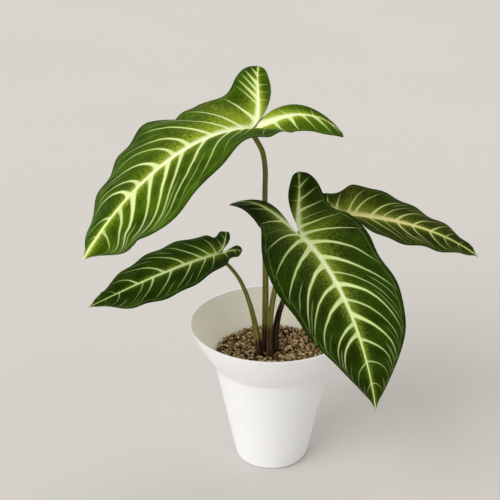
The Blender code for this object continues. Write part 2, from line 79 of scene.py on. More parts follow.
# Gravel: fills the pot to a little above the shoulder.
GRAVEL_LEVEL = 118.5 * MM
GRAVEL_CROWN = 1.5 * MM              # how much the middle stands above the edge
GAP = 0.4 * MM
STONE_SEED = 7
STONE_LAYERS = ((2.0, 1.0), (0.6, 0.8), (-0.7, 0.5))    # millimetres down, share of the places filled
ROW_PITCH = 0.866                    # distance between the rows of a six-sided grid, against its pitch
STONE_ROUGHNESS = 0.16
FILL_SIDES = 72
FILL_EDGE = 2.4 * MM                 # how deep under the stones the filling ends at the wall
FILL_MIDDLE = (30 * MM, 1.6 * MM)    # radius of its flat middle, and how deep that lies
CROWN_RADIUS = 62 * MM
GAP_SHADE_HEIGHTS = (-0.55 * MM, 1.8 * MM)        # heights against the crown: below them a stone is painted darkest in shade, above them not at all

# Leaf blade, as shares of the length from the stalk to the tip: how far along, and how far out.
OUTER_MARGIN = ((1.0, 0.0), (0.955, 0.020), (0.90, 0.062), (0.80, 0.148), (0.68, 0.222),
                (0.54, 0.272), (0.40, 0.293), (0.26, 0.289), (0.12, 0.266), (0.0, 0.228),
                (-0.085, 0.200), (-0.165, 0.206), (-0.245, 0.222), (-0.305, 0.215), (-0.335, 0.180))
INNER_MARGIN = ((0.0, 0.0), (-0.04, 0.010), (-0.08, 0.019), (-0.13, 0.025), (-0.19, 0.038),
                (-0.245, 0.062), (-0.295, 0.105), (-0.327, 0.145), (-0.335, 0.180))
LOBE_RIB = ((0.0, 0.0), (-0.07, 0.022), (-0.15, 0.062), (-0.22, 0.105), (-0.29, 0.152),
            (-0.335, 0.180))
LOBE_REACH = 0.335
STATIONS = (-0.335, 0.0, 0.3, 0.6, 0.83, 0.95)    # where a blade's widths are given, lobe to tip
CURL_WIDTH = 0.29                    # how far out, as a share of the length, a blade has its full curl
RIPPLE = 26                          # radians of the margin's even ripple to a blade's length
LOBE_EASE = 0.06                     # how softly a lobe starts to turn behind the stalk
INNER_SWELL = 0.04                   # how far a half's `inner` moves the lobe's inner margin
EDGE_VEIN = 0.3                      # strength of the veins beyond those listed

BLADE_THICKNESS = 0.5 * MM
RIB_DEPTH = 1.9 * MM                 # the midrib below the blade, where it meets the stalk
RIB_HALF_WIDTH = 2.4 * MM
RIB_BLADE_LENGTH = 238               # the blade length in millimetres that has that half width
FULL_QUILT = 12 * MM                 # side veins this far apart have the full bulge between them
SIDE_RIB_DEPTH = 0.35 * MM
SIDE_RIB_HALF_WIDTH = 0.9 * MM
WELD = 0.002 * MM                    # points of a sheet closer than this are joined
VEIN_MARKS = ("number", "outward", "spacing", "from_midrib", "from_lobe_rib", "along", "strength")
VEIN_WIDTHS = ("midrib_width", "lobe_width", "vein_width", "midrib_halo", "vein_halo")

# Stalks: a channel with two lips runs up a sheath at the foot.
CHANNEL_DEPTH = (0.10, 0.30)         # shares of the radius: everywhere, and more along the sheath
CHANNEL_HALF_WIDTH = 0.42            # radians round the stalk, as are the next three
LIP_PLACE = 0.75
LIP_HALF_WIDTH = 0.28
LIP_EDGE = 0.2
LIP_HEIGHT = 0.13                    # share of the radius
STALK_TAPER = 1.6                    # how much faster a stalk thins near its foot
UNDER_BLADE = 1.3 * MM               # how far below a blade's upper side its stalk ends
SHEATH = (5 * MM, 60 * MM)           # the sheath fades out between these heights
STALK_END = 2.2 * MM                 # length of the rounded end under the blade

# Studio
FLOOR_REACH = 12.0
KEY_FROM = (-1.3, -1.0, 1.15)
FILL_FROM = (0.8, 0.9, 1.5)
CAMERA_PLACE = (-0.121, -1.119, 0.748)
CAMERA_TURN = (90 - 24.45, 0.0, -5.0)    # degrees
CAMERA_LENS = 88.99


@dataclass
class Half:
    """One side of a blade. Angles in degrees, lengths as shares."""
    fold: tuple        # lift of the half at the stalk, the middle and the tip
    widths: tuple      # width against the usual outline, at STATIONS
    inner: float       # swelling of the lobe's inner margin
    lobe_length: float
    spread: float      # the lobe's turn away from the axis
    lift: float        # the lobe's rise
    sag: float         # the fall of the lobe's own tip, taken off the rise
    roll: float        # the lobe's turn about its own axis
    veins: tuple       # side veins from the stalk on: share of the midrib's length, strength
    lobe_veins: tuple  # side veins of the lobe: share of the lobe's rib, strength
    forward: tuple     # how far a vein runs towards the tip: stations and shares
    slope: tuple       # the even part of that run, the rest growing: stations and shares
    fill: float = 0.0  # how far the lobe fills the gap beside the stalk, as a share of the length


@dataclass
class Blade:
    """Where a blade leaves its stalk, its length, and how it points and bends."""
    name: str
    junction: tuple    # millimetres
    length: float      # millimetres
    heading: float     # degrees from +X, anticlockwise seen from above
    pitch: float       # degrees above level at the stalk
    droop: tuple       # degrees of fall by the tip, even and growing
    sweep: float       # degrees of sideways turn by the tip
    curl: tuple        # degrees that each half bends down on its way out, at the stalk and the tip
    wave: float        # millimetres of ripple at the margin
    quilt: float       # millimetres that the blade bulges between its side veins
    ripples: tuple     # single waves of the margin: side, place along, half width, height in mm
    left: Half
    right: Half

    def half(self, side):
        """The half at a side, 1 for the left and -1 for the right as seen from the stalk."""
        return self.left if side > 0 else self.right


@dataclass
class Stalk:
    """A leaf stalk: its course in millimetres, its radii, and how high its foot is dark."""
    name: str
    blade: str
    course: tuple
    foot_radius: float
    top_radius: float
    dark_foot: float
    groove: float      # degrees round the stalk, where its channel opens


BLADES = (
    Blade("leaf_a", (-23.5, -11.8, 368.2), 238, 226, 14, (56, 2), -2, (29, 11), 1.6, 0.55,
          ((-1, -0.09, 0.05, 1.8), (-1, 0.02, 0.04, -2.5), (-1, 0.125, 0.045, -8.5), (-1, 0.25, 0.07, 4.5),
           (1, 0.165, 0.055, -3.3), (1, -0.035, 0.075, 6), (1, -0.20, 0.05, -3)),
          left=Half((14, 19, -48), (1.14, 0.87, 0.87, 0.99, 1.16, 2.3), 0.6, 0.95, 13, 100, 74, -33,
                    veins=((0, 0.3), (0.05, 0.5), (0.13, 0.9), (0.275, 1.0), (0.404, 0.9), (0.482, 1.0),
                           (0.578, 0.85), (0.682, 1.0), (0.762, 0.6), (0.87, 0.4)),
                    lobe_veins=((0.13, 0.4), (0.29, 0.7), (0.43, 0.9), (0.55, 0.5), (0.66, 0.7), (0.80, 0.4)),
                    forward=((0, 0.13, 0.28, 0.48, 0.6, 0.76, 0.9),
                             (0.42, 0.52, 0.56, 0.40, 0.30, 0.21, 0.08)),
                    slope=((0, 0.6, 0.9), (0.22, 0.30, 0.05)), fill=0.05),
          right=Half((24, -7, -25), (1.14, 1.28, 1.28, 1.12, 1.17, 1.5), 0, 0.91, -4, 76, 38, -3,
                     veins=((0, 0.0), (0.04, 1.1), (0.114, 0.9), (0.22, 1.0), (0.361, 1.1), (0.444, 0.8),
                            (0.544, 1.1), (0.65, 0.8), (0.711, 1.0), (0.82, 0.5), (0.90, 0.3)),
                     lobe_veins=((0.21, 1.0), (0.41, 0.4), (0.48, 0.8), (0.57, 0.6), (0.65, 0.7),
                                 (0.77, 0.5)),
                     forward=((0, 0.04, 0.11, 0.22, 0.36, 0.65, 0.82),
                              (0.02, 0.03, 0.16, 0.09, 0.16, 0.17, 0.12)),
                     slope=((0, 0.2, 0.36, 0.7, 0.85), (0.03, 0.03, -0.22, -0.19, 0.01)))),
    Blade("leaf_b", (20.2, -52.0, 274.2), 204, -72, -1, (46, 22), -2, (15, 20), 1.2, 0.5, (),
          left=Half((23, 11, 13), (1.00, 1.13, 0.88, 0.98, 1.01, 1.14), 0, 0.96, -10, 53, 23, -10,
                    veins=((0, 1.5), (0.084, 1.6), (0.207, 1.4), (0.323, 0.5), (0.401, 1.2), (0.485, 0.6),
                           (0.561, 1.0), (0.684, 0.6), (0.786, 0.3), (0.88, 0.2)),
                    lobe_veins=((0.17, 1.0), (0.27, 0.3), (0.38, 0.8), (0.53, 0.6), (0.70, 0.5), (0.86, 0.3)),
                    forward=((0, 0.09, 0.2, 0.42, 0.56, 0.68, 0.79),
                             (0.13, 0.29, 0.32, 0.34, 0.26, 0.18, 0.115)),
                    slope=((0, 0.2, 0.4, 0.56, 0.8), (0.08, 0.16, 0.06, 0.20, 0.02))),
          right=Half((26, 14, 13), (1.02, 0.95, 1.05, 0.97, 0.92, 0.96), 0.3, 1.14, 0, 46, 38, -23,
                     veins=((0, 1.3), (0.05, 1.5), (0.118, 1.5), (0.266, 1.3), (0.394, 1.0), (0.481, 1.2),
                            (0.609, 0.8), (0.66, 0.9), (0.79, 0.3), (0.88, 0.2)),
                     lobe_veins=((0.11, 0.25), (0.28, 0.9), (0.48, 0.4), (0.63, 0.4), (0.80, 0.3)),
                     forward=((0, 0.05, 0.12, 0.27, 0.4, 0.61, 0.8),
                              (0.20, 0.33, 0.39, 0.40, 0.30, 0.21, 0.12)),
                     slope=((0, 0.12, 0.4, 0.8), (0.06, 0.30, 0.15, 0.08)))),
    Blade("leaf_c", (78.1, 20.0, 263.1), 140, -16, -1, (13, 24), 3, (7, 27), 1.2, 0.4, (),
          left=Half((36, 12, 15), (0.98, 1.18, 1.08, 0.92, 1.01, 1.6), 0.2, 0.97, 6, 2, -1, -32,
                    veins=((0, 1.0), (0.045, 1.0), (0.153, 1.0), (0.24, 0.5), (0.339, 0.9), (0.475, 0.7),
                           (0.608, 0.7), (0.72, 0.3), (0.83, 0.2)),
                    lobe_veins=((0.25, 1.0), (0.45, 0.6), (0.62, 0.5), (0.80, 0.4)),
                    forward=((0, 0.04, 0.15, 0.34, 0.49, 0.61, 0.83),
                             (0.11, 0.20, 0.26, 0.30, 0.26, 0.16, 0.06)),
                    slope=((0, 0.15, 0.6), (0.0, 0.13, 0.09))),
          right=Half((22, 1, -3), (1.00, 0.99, 1.08, 0.89, 1.01, 1.3), 0.2, 1.00, 3, 0, 6, 0,
                     veins=((0, 0.7), (0.15, 0.9), (0.26, 0.45), (0.36, 0.9), (0.47, 0.6), (0.602, 0.8),
                            (0.71, 0.4), (0.82, 0.3)),
                     lobe_veins=((0.22, 0.8), (0.45, 0.6), (0.65, 0.4), (0.82, 0.3)),
                     forward=((0, 0.15, 0.26, 0.36, 0.47, 0.6, 0.82),
                              (0.36, 0.38, 0.31, 0.32, 0.27, 0.23, 0.09)),
                     slope=((0, 0.6), (0.08, 0.0)))),
    Blade("leaf_d", (-57.3, -13.0, 239.8), 136, 194, -9, (20, -8), -2, (13, 27), 1.0, 0.3, (),
          left=Half((9, -1, -1), (0.93, 0.94, 0.97, 0.97, 1.14, 1.15), 1.2, 0.70, 22, 44, 22, 7,
                    veins=((0, 0.0), (0.024, 0.9), (0.09, 0.9), (0.197, 1.0), (0.352, 0.9), (0.493, 0.8),
                           (0.571, 0.4), (0.755, 0.4), (0.86, 0.1)),
                    lobe_veins=((0.22, 0.7), (0.5, 0.4), (0.75, 0.3)),
                    forward=((0, 0.09, 0.2, 0.35, 0.5, 0.58, 0.76),
                             (0.08, 0.19, 0.24, 0.25, 0.21, 0.21, 0.12)),
                    slope=((0, 0.2, 0.6), (0.03, 0.08, 0.06))),
          right=Half((17, 16, 11), (1.08, 1.06, 1.06, 1.05, 0.99, 1.2), 0, 0.70, 17, 43, 25, -20,
                     veins=((0, 0.7), (0.045, 0.9), (0.101, 1.0), (0.245, 1.0), (0.397, 0.9), (0.613, 0.7),
                            (0.78, 0.2)),
                     lobe_veins=((0.25, 0.4), (0.5, 0.3), (0.75, 0.2)),
                     forward=((0, 0.045, 0.1, 0.25, 0.4, 0.61, 0.8),
                              (0.05, 0.18, 0.23, 0.33, 0.36, 0.25, 0.10)),
                     slope=((0, 0.1, 0.25, 0.4, 0.6), (-0.02, 0.18, 0.06, 0.16, 0.08)))),
)

STALKS = (
    Stalk("petiole_a", "leaf_a", ((-7.0, 4.5, 120), (-6.9, 4.5, 200), (-7.8, 4.3, 251), (-8.1, 3.2, 291),
                                  (-8.2, 0.3, 321), (-10.6, -3.6, 339), (-14.6, -7.2, 350)),
          3.6, 2.5, 46, 250),
    Stalk("petiole_b", "leaf_b", ((-2.8, -5.5, 120), (-2.9, -6.5, 158), (-1.2, -9.0, 182),
                                  (2.5, -16.0, 208), (9.5, -32.0, 242)), 3.6, 2.3, 52, 290),
    Stalk("petiole_c", "leaf_c", ((3.6, 2.6, 120), (4.2, 3.0, 145), (10.2, 5.2, 172),
                                  (26.0, 9.0, 206), (50.0, 14.0, 237)), 4.2, 2.0, 85, 200),
    Stalk("petiole_d", "leaf_d", ((-13.8, -4.2, 120), (-15.9, -4.5, 141), (-22.5, -6.0, 175),
                                  (-32.0, -8.0, 204), (-43.0, -10.5, 223)), 3.8, 1.75, 30, 60),
)

# Curves and grids

def smooth_curve(points, steps):
    """A smooth curve through the points, with so many steps to each stretch.

    Each stretch is a cubic in t, from 0 to 1. Its slope at a point is half the way from the
    point before to the point after, and the curve's ends go on straight.
    """
    points = np.asarray(points, float)
    ends = np.vstack([2 * points[0] - points[1], points, 2 * points[-1] - points[-2]])
    a, b, c, d = (ends[k:len(ends) - 3 + k, None] for k in range(4))
    t = np.linspace(0, 1, steps, endpoint=False)[None, :, None]
    curve = 0.5 * (2 * b + (c - a) * t + (2 * a - 5 * b + 4 * c - d) * t ** 2
                   + (3 * b - a - 3 * c + d) * t ** 3)
    return np.vstack([curve.reshape(-1, points.shape[1]), points[-1:]])


def between(where, steps, rows):
    """Rows of numbers, one row to a step, read off at places between the steps."""
    return np.stack([np.interp(where, steps, column) for column in rows.T], axis=-1)


def along_curve(curve, shares):
    """Points at shares of a curve's run of steps."""
    return between(shares, np.linspace(0, 1, len(curve)), curve)


def eased(u, stations, values):
    """Values between stations: t squared times (3 minus 2 t) of the way, at t of the distance."""
    stations = np.asarray(stations)
    values = np.asarray(values)
    cell = np.clip(np.searchsorted(stations, u) - 1, 0, len(stations) - 2)
    t = np.clip((u - stations[cell]) / (stations[cell + 1] - stations[cell]), 0, 1)
    return values[cell] + (values[cell + 1] - values[cell]) * t * t * (3 - 2 * t)


def smooth_step(values, low, high):
    """0 below low, 1 above high, and t squared times (3 minus 2 t) at t of the way between."""
    t = np.clip((values - low) / (high - low), 0, 1)
    return t * t * (3 - 2 * t)


def unit(vectors, least=1e-12):
    """Vectors drawn out or in to a length of 1, if they are longer than the least."""
    return vectors / np.maximum(np.linalg.norm(vectors, axis=-1, keepdims=True), least)


def grid_triangles(rows, columns, closed=False):
    """Two triangles to each cell of a grid of numbered points, its columns joined up if closed."""
    row = np.arange(rows - 1)[:, None]
    column = np.arange(columns if closed else columns - 1)[None, :]
    following = (column + 1) % columns
    a, b = row * columns + column, row * columns + following
    c, d = (row + 1) * columns + following, (row + 1) * columns + column
    return np.stack([np.stack([a, b, c], -1), np.stack([a, c, d], -1)], axis=2).reshape(-1, 3)


def point_normals(points, triangles):
    """The mean direction of the faces round each point, each counted by its area."""
    corners = points[triangles]
    areas = np.cross(corners[:, 1] - corners[:, 0], corners[:, 2] - corners[:, 0])
    normals = np.zeros_like(points)
    for k in range(3):
        np.add.at(normals, triangles[:, k], areas)
    return unit(normals)


def tube_triangles(rows, columns):
    """The triangles of a tube of rings, closed by a fan to one added point at each end."""
    around = np.arange(columns)
    following = (around + 1) % columns
    last = (rows - 1) * columns
    ends = np.full((2, columns), rows * columns) + [[0], [1]]
    return np.vstack([grid_triangles(rows, columns, closed=True),
                      np.stack([ends[0], following, around], -1),
                      np.stack([ends[1], last + around, last + following], -1)])


def add_object(name, data):
    """A new object in the scene, at the origin."""
    item = bpy.data.objects.new(name, data)
    bpy.context.scene.collection.objects.link(item)
    return item


def make_piece(name, points, triangles, material, replaced, corner_values=None, smooth=True):
    """A mesh object at the origin from points and triangles, riding with the plant."""
    mesh = bpy.data.meshes.new(name)
    mesh.vertices.add(len(points))
    mesh.vertices.foreach_set("co", points.astype(np.float32).ravel())
    mesh.loops.add(triangles.size)
    mesh.loops.foreach_set("vertex_index", triangles.astype(np.int32).ravel())
    mesh.polygons.add(len(triangles))
    mesh.polygons.foreach_set("loop_start", np.arange(0, triangles.size, 3, dtype=np.int32))
    mesh.update(calc_edges=True)
    mesh.polygons.foreach_set("use_smooth", np.full(len(triangles), smooth))
    for label, values in (corner_values or {}).items():
        layer = mesh.attributes.new(label, "FLOAT", "CORNER")
        layer.data.foreach_set("value", values.astype(np.float32).ravel())
    mesh.materials.append(material)
    piece = add_object(name, mesh)
    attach(piece, "root")
    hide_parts(*replaced)
    return piece


# Shader building

def infix(operation, swapped=False):
    """A method that makes a Math node from two values."""
    def method(self, other):
        first, second = (other, self) if swapped else (self, other)
        return self.bench.math(operation, first, second)
    return method


class Term:
    """A shader value. A sum of terms makes Math nodes, so a formula reads as it is written."""
    __add__, __radd__ = infix("ADD"), infix("ADD", swapped=True)
    __sub__, __rsub__ = infix("SUBTRACT"), infix("SUBTRACT", swapped=True)
    __mul__, __rmul__ = infix("MULTIPLY"), infix("MULTIPLY", swapped=True)
    __truediv__, __rtruediv__ = infix("DIVIDE"), infix("DIVIDE", swapped=True)
    __pow__ = infix("POWER")

    def __init__(self, bench, socket):
        self.bench = bench
        self.socket = socket

    def __abs__(self):
        return self.bench.math("ABSOLUTE", self)


class Bench:
    """Short calls for laying out one node tree."""

    def __init__(self, tree):
        self.tree = tree

    def node(self, kind, **settings):
        """A new node with its settings made."""
        made = self.tree.nodes.new(kind)
        for key, value in settings.items():
            setattr(made, key, value)
        return made

    def feed(self, sockets, values):
        """Link terms to sockets and set the others to constants, by place or by name."""
        for key, value in values.items():
            socket = sockets[key.replace("_", " ") if isinstance(key, str) else key]
            if isinstance(value, Term):
                self.tree.links.new(value.socket, socket)
            else:
                socket.default_value = (*value, 1.0) if socket.type == "RGBA" else value

    def term(self, kind, values, output=0, **settings):
        """One output of a new node whose inputs are fed."""
        made = self.node(kind, **settings)
        self.feed(made.inputs, values)
        return Term(self, made.outputs[output])

    def terms(self, node):
        """Every output of a node, by its name."""
        return {socket.name: Term(self, socket) for socket in node.outputs}

    def math(self, operation, *values, clamp=False):
        """One step of arithmetic on terms and numbers, kept between 0 and 1 if clamped."""
        return self.term("ShaderNodeMath", dict(enumerate(values)), operation=operation, use_clamp=clamp)

    def most(self, first, *others, clamp=False):
        """The greatest of some values."""
        for other in others:
            first = self.math("MAXIMUM", first, other, clamp=clamp)
        return first

    def ramp(self, value, low, high, start=0.0, end=1.0):
        """An eased ramp of a value from low to high."""
        values = dict(enumerate((value, low, high, start, end)))
        return self.term("ShaderNodeMapRange", values, interpolation_type="SMOOTHSTEP")

    def decay(self, value):
        """e to the power of minus the value."""
        return self.math("EXPONENT", value * -1.0)

    def mix(self, share, first, second):
        """A colour that lies a share of the way from the first to the second."""
        return self.term("ShaderNodeMix", {0: share, 6: first, 7: second}, 2, data_type="RGBA")

    def noise(self, vector, scale, detail=3.0, roughness=0.5):
        """Cloudy noise round a middle of 0.5."""
        values = {"Vector": vector, "Scale": scale, "Detail": detail, "Roughness": roughness}
        return self.term("ShaderNodeTexNoise", values, "Fac")

    def attribute(self, name):
        """A value that the mesh carries under a name."""
        return self.term("ShaderNodeAttribute", {}, "Fac", attribute_name=name)

    def place(self):
        """Where a point of the piece is, in metres."""
        return self.term("ShaderNodeTexCoord", {}, "Object")

    def vector(self, *parts):
        """A vector from up to three parts."""
        return self.term("ShaderNodeCombineXYZ", dict(enumerate(parts)))

    def bump(self, height, strength, distance):
        """The surface's normal, tilted by the slope of a height that is worth so many metres."""
        return self.term("ShaderNodeBump", {"Height": height, "Strength": strength, "Distance": distance})

    def group(self, tree, **values):
        """All outputs of a node group that is placed here with its inputs fed."""
        made = self.node("ShaderNodeGroup", node_tree=tree)
        self.feed(made.inputs, values)
        return self.terms(made)


def new_group(name, inputs, outputs):
    """An empty shader node group with named sockets: its bench, its inputs and its outputs."""
    tree = bpy.data.node_groups.new(name, "ShaderNodeTree")
    for label in inputs:
        kind = "NodeSocketVector" if label == "Vector" else "NodeSocketFloat"
        tree.interface.new_socket(label, in_out="INPUT", socket_type=kind)
    for label in outputs:
        tree.interface.new_socket(label, in_out="OUTPUT", socket_type="NodeSocketFloat")
    bench = Bench(tree)
    return bench, bench.terms(bench.node("NodeGroupInput")), bench.node("NodeGroupOutput").inputs


def vein_group():
    """Where a blade's veins, their halo and their relief lie, from its vein coordinates.

    Side veins stand at whole numbers of Number. Each thins and fades on its way out, and hands
    over to a thin vein that runs just inside the margin.
    """
    known = bpy.data.node_groups.get("Veins")
    if known:
        return known
    bench, given, out = new_group(
        "Veins",
        ("Vector", "Number", "Outward", "Spacing", "From Midrib", "From Lobe Rib", "Along",
         "Strength", "Midrib Width", "Lobe Width", "Vein Width", "Midrib Halo", "Vein Halo"),
        ("Ribs", "Sides", "Halo", "Net", "Height", "Margin"))
    ramp, decay, most = bench.ramp, bench.decay, bench.most
    along, from_midrib, from_lobe_rib = given["Along"], given["From Midrib"], given["From Lobe Rib"]
    number = given["Number"] + (bench.noise(given["Vector"], 70.0, 2.0) - 0.5) * 0.12
    part = bench.math("FRACT", number)
    aside = abs(number - bench.math("ROUND", number)) * given["Spacing"]
    outward = abs(given["Outward"])
    strength = given["Strength"] * ramp(given["Outward"], -0.1, 0.0, 0.35, 1.0)
    tip = 1.0 - ramp(along, 0.88, 0.97)
    # Side veins
    thinning = 1.0 - outward ** 0.6 * 0.84 + decay(outward * 7.0) * 0.75
    width = given["Vein Width"] * strength ** 0.8 * thinning
    side = (1.0 - ramp(aside / width, 0.35, 0.95)) * (1.0 - ramp(outward, 0.74, 0.96))
    side = bench.math("MULTIPLY", side, tip * strength ** 0.5, clamp=True) * ramp(outward, 0.2, 0.9, 1.0, 0.5)
    # Thin veins half way between the side veins, in the outer part only
    between = abs(part - 0.5) * given["Spacing"]
    chance = bench.term("ShaderNodeTexWhiteNoise", {"W": bench.math("FLOOR", number)}, noise_dimensions="1D")
    thin = (1.0 - ramp(between, 0.0002, 0.0008)) * ramp(outward, 0.5, 0.65) * (1.0 - ramp(outward, 0.8, 0.93))
    thin = thin * tip * ramp(chance, 0.3, 1.0) * 0.3 * ramp(given["Number"], 0.5, 1.5)
    # The collecting vein, a scallop inside the margin
    half = from_midrib / most(outward, 0.05)
    off = abs(outward - (0.885 + part * 0.055)) * half
    collect = (1.0 - ramp(off, 0.0001, 0.0005)) * tip * 0.16
    sides = most(side, collect, thin)
    # Midrib and the lobes' ribs
    streak = bench.vector(number * 6.0, outward * 5.0)
    ragged = bench.noise(streak, 3.0, 3.0, 0.65)
    taper = ramp(along, 0.0, 1.05, 1.0, 0.12) * ramp(ragged, 0.3, 0.7, 0.85, 1.15)
    lobe_taper = ramp(along, -0.31, 0.02, 0.09, 1.0) * ramp(ragged, 0.3, 0.7, 0.8, 1.2)
    rib = 1.0 - ramp(from_midrib / (given["Midrib Width"] * taper), 0.15, 1.0)
    lobe_rib = 1.0 - ramp(from_lobe_rib / (given["Lobe Width"] * lobe_taper), 0.15, 1.0)
    ribs = most(rib, lobe_rib * 0.9)
    # Halo, feathered by streaks that follow the side veins, and widest round the stalk
    feather = ramp(ragged, 0.3, 0.7, 0.55, 1.5)
    near = 1.0 + decay(abs(along) * 13.0) * 0.7
    glow = decay((from_midrib / (given["Midrib Halo"] * taper ** 1.25 * feather * near)) ** 1.5)
    lobe_reach = given["Midrib Halo"] * 0.7 * lobe_taper * feather * near
    lobe_glow = decay((from_lobe_rib / lobe_reach) ** 1.5)
    flare = 1.0 + decay(outward * 5.0) * 1.6
    side_reach = given["Vein Halo"] * feather * flare * ramp(along, 0.3, 1.0, 1.0, 0.35)
    side_glow = decay(aside / side_reach) * strength * ramp(outward, 0.05, 0.9, 0.75, 0.0)
    halo = most(glow, lobe_glow, side_glow, clamp=True)
    # Net of the finest veins, cells drawn out along the side veins
    cells = bench.term("ShaderNodeTexVoronoi", {"Vector": streak, "Scale": 1.7}, "Distance",
                       feature="DISTANCE_TO_EDGE")
    net = 1.0 - ramp(cells, 0.0, 0.16)
    # Relief: veins lie a little sunk, with fine crinkle between them
    sunk = most(side, ribs * 1.4) * -0.7
    height = sunk + bench.noise(given["Vector"], 420.0, 2.0) * 0.35 - net * 0.10
    bench.feed(out, {"Ribs": ribs, "Sides": sides, "Halo": halo, "Net": net, "Height": height,
                     "Margin": ramp(outward, 0.965, 0.99)})
    return bench.tree


def speckle_group():
    """Soft cloudy variation and fine speckle at a given size, both from 0 to 1."""
    known = bpy.data.node_groups.get("Speckle")
    if known:
        return known
    bench, given, out = new_group("Speckle", ("Vector", "Size"), ("Cloud", "Grain"))
    for label, times in (("Cloud", 1.0), ("Grain", 9.0)):
        spots = bench.noise(given["Vector"], times / given["Size"], 4.0)
        bench.feed(out, {label: bench.ramp(spots, 0.3, 0.7)})
    return bench.tree


def new_material(name):
    """A material holding only a Principled shader, the shader's inputs, and its bench."""
    material = bpy.data.materials.new(name)
    material.use_nodes = True
    shader = material.node_tree.nodes["Principled BSDF"]
    return material, shader.inputs, Bench(material.node_tree)


def leaf_material(name, look):
    """Cloudy green under a halo, the veins over it, a dark margin, and a paler underside."""
    material, shader, bench = new_material(name)
    own = getattr(bpy.context.scene, f"aroid_{name}")
    place = bench.place()
    marks = {mark: bench.attribute(mark) for mark in VEIN_MARKS}
    veins = bench.group(vein_group(), Vector=place, **{mark.title(): term for mark, term in marks.items()},
                        **{width.title(): getattr(own, width) for width in VEIN_WIDTHS})
    speckle = bench.group(speckle_group(), Vector=place, Size=0.02)
    patchy = bench.ramp(speckle["Grain"], 0.0, 1.0, look.halo_strength * 0.8, look.halo_strength * 1.1)
    green = bench.mix(speckle["Cloud"], own.dark, own.light)
    green = bench.mix(veins["Net"] * 0.035, green, own.halo)
    colour = bench.mix(bench.math("MULTIPLY", veins["Halo"], patchy, clamp=True), green, own.halo)
    colour = bench.mix(veins["Sides"] * 0.92, colour, own.vein)
    rib_colour = bench.mix(bench.ramp(marks["along"], 0.35, 0.9), own.midrib, own.vein)
    colour = bench.mix(veins["Ribs"], colour, rib_colour)
    colour = bench.mix(veins["Margin"] * 0.85, colour, own.dark)
    core = bench.most(veins["Ribs"], veins["Sides"])
    below = bench.mix(core, bench.mix(0.5, own.light, look.below), look.below_veins)
    colour = bench.mix(bench.attribute("underside"), colour, below)
    bench.feed(shader, {
        "Base Color": colour, "Specular IOR Level": look.shine,
        "Roughness": bench.ramp(speckle["Grain"], 0.0, 1.0, look.roughness - 0.05, look.roughness + 0.06),
        "Normal": bench.bump(veins["Height"], 0.6, 0.5 * MM)})
    return material


def stalk_material(look):
    """Green with pale streaks along the stalk, turning raggedly to brown at its foot."""
    material, shader, bench = new_material("stalk")
    ring = [bench.attribute(name) for name in ("ring_cos", "ring_sin")]
    around = bench.vector(*ring, bench.attribute("above") * 9.0)
    streak = bench.ramp(bench.noise(around, 3.2, 4.0, 0.6), 0.35, 0.68)
    fine = bench.noise(around, 14.0, 3.0, 0.6)
    green = bench.mix(streak, look.green, look.pale)
    brown = bench.mix(bench.ramp(streak, 0.45, 1.0), look.foot, look.foot_pale)
    foot = bench.math("ADD", bench.attribute("foot"), (fine - 0.5) * 0.9, clamp=True)
    colour = bench.mix(bench.ramp(foot, 0.15, 0.75), green, brown)
    colour = bench.mix(bench.attribute("groove") * 0.45, colour, look.lip)
    bench.feed(shader, {"Base Color": colour, "Roughness": bench.ramp(fine, 0.2, 0.8, 0.40, 0.55),
                        "Specular IOR Level": 0.06, "Normal": bench.bump(fine, 0.35, 0.3 * MM)})
    return material


def pot_material(look):
    """Satin white plastic, a little cloudy, with a warmer inner wall."""
    material, shader, bench = new_material("pot_plastic")
    speckle = bench.group(speckle_group(), Vector=bench.place(), Size=0.05)
    colour = bench.mix(speckle["Cloud"] * 0.5, look.colour, look.colour * 0.975)
    bench.feed(shader, {
        # The inner wall's warmer colour is painted warm bounce light and glow through the plastic.
        "Base Color": bench.mix(bench.attribute("inside"), colour, look.inside),
        "Roughness": bench.ramp(speckle["Grain"], 0.0, 1.0, 0.36, 0.46), "Specular IOR Level": 0.2,
        "Subsurface Weight": 0.3, "Subsurface Radius": (1.0, 0.9, 0.75), "Subsurface Scale": 0.004,
        "Normal": bench.bump(speckle["Grain"], 0.05, 0.2 * MM)})
    return material


def gravel_material(look):
    """Each stone one shade from dark to pale, speckled brown, and darker the deeper it lies."""
    material, shader, bench = new_material("pumice")
    speckle = bench.group(speckle_group(), Vector=bench.place(), Size=0.0035)
    shades = bench.node("ShaderNodeValToRGB")
    stops = ((0.0, look.dark), (0.35, look.middle), (0.8, look.light), (1.0, look.pale))
    while len(shades.color_ramp.elements) < len(stops):
        shades.color_ramp.elements.new(0.5)
    for element, (at, colour) in zip(shades.color_ramp.elements, stops):
        element.position = at
        element.color = (*colour, 1.0)
    bench.feed(shades.inputs, {0: bench.attribute("stone")})
    colour = bench.mix(speckle["Grain"] * 0.4, bench.terms(shades)["Color"], look.specks)
    # Painted shade between the stones: the deeper a point lies, the more it takes the gap shade colour.
    bench.feed(shader, {"Base Color": bench.mix(bench.attribute("sunk") * 0.96, colour, look.gap_shade),
                        "Roughness": 0.95, "Specular IOR Level": 0.25,
                        "Normal": bench.bump(speckle["Grain"], 0.7, 0.4 * MM)})
    return material


# Leaf blades

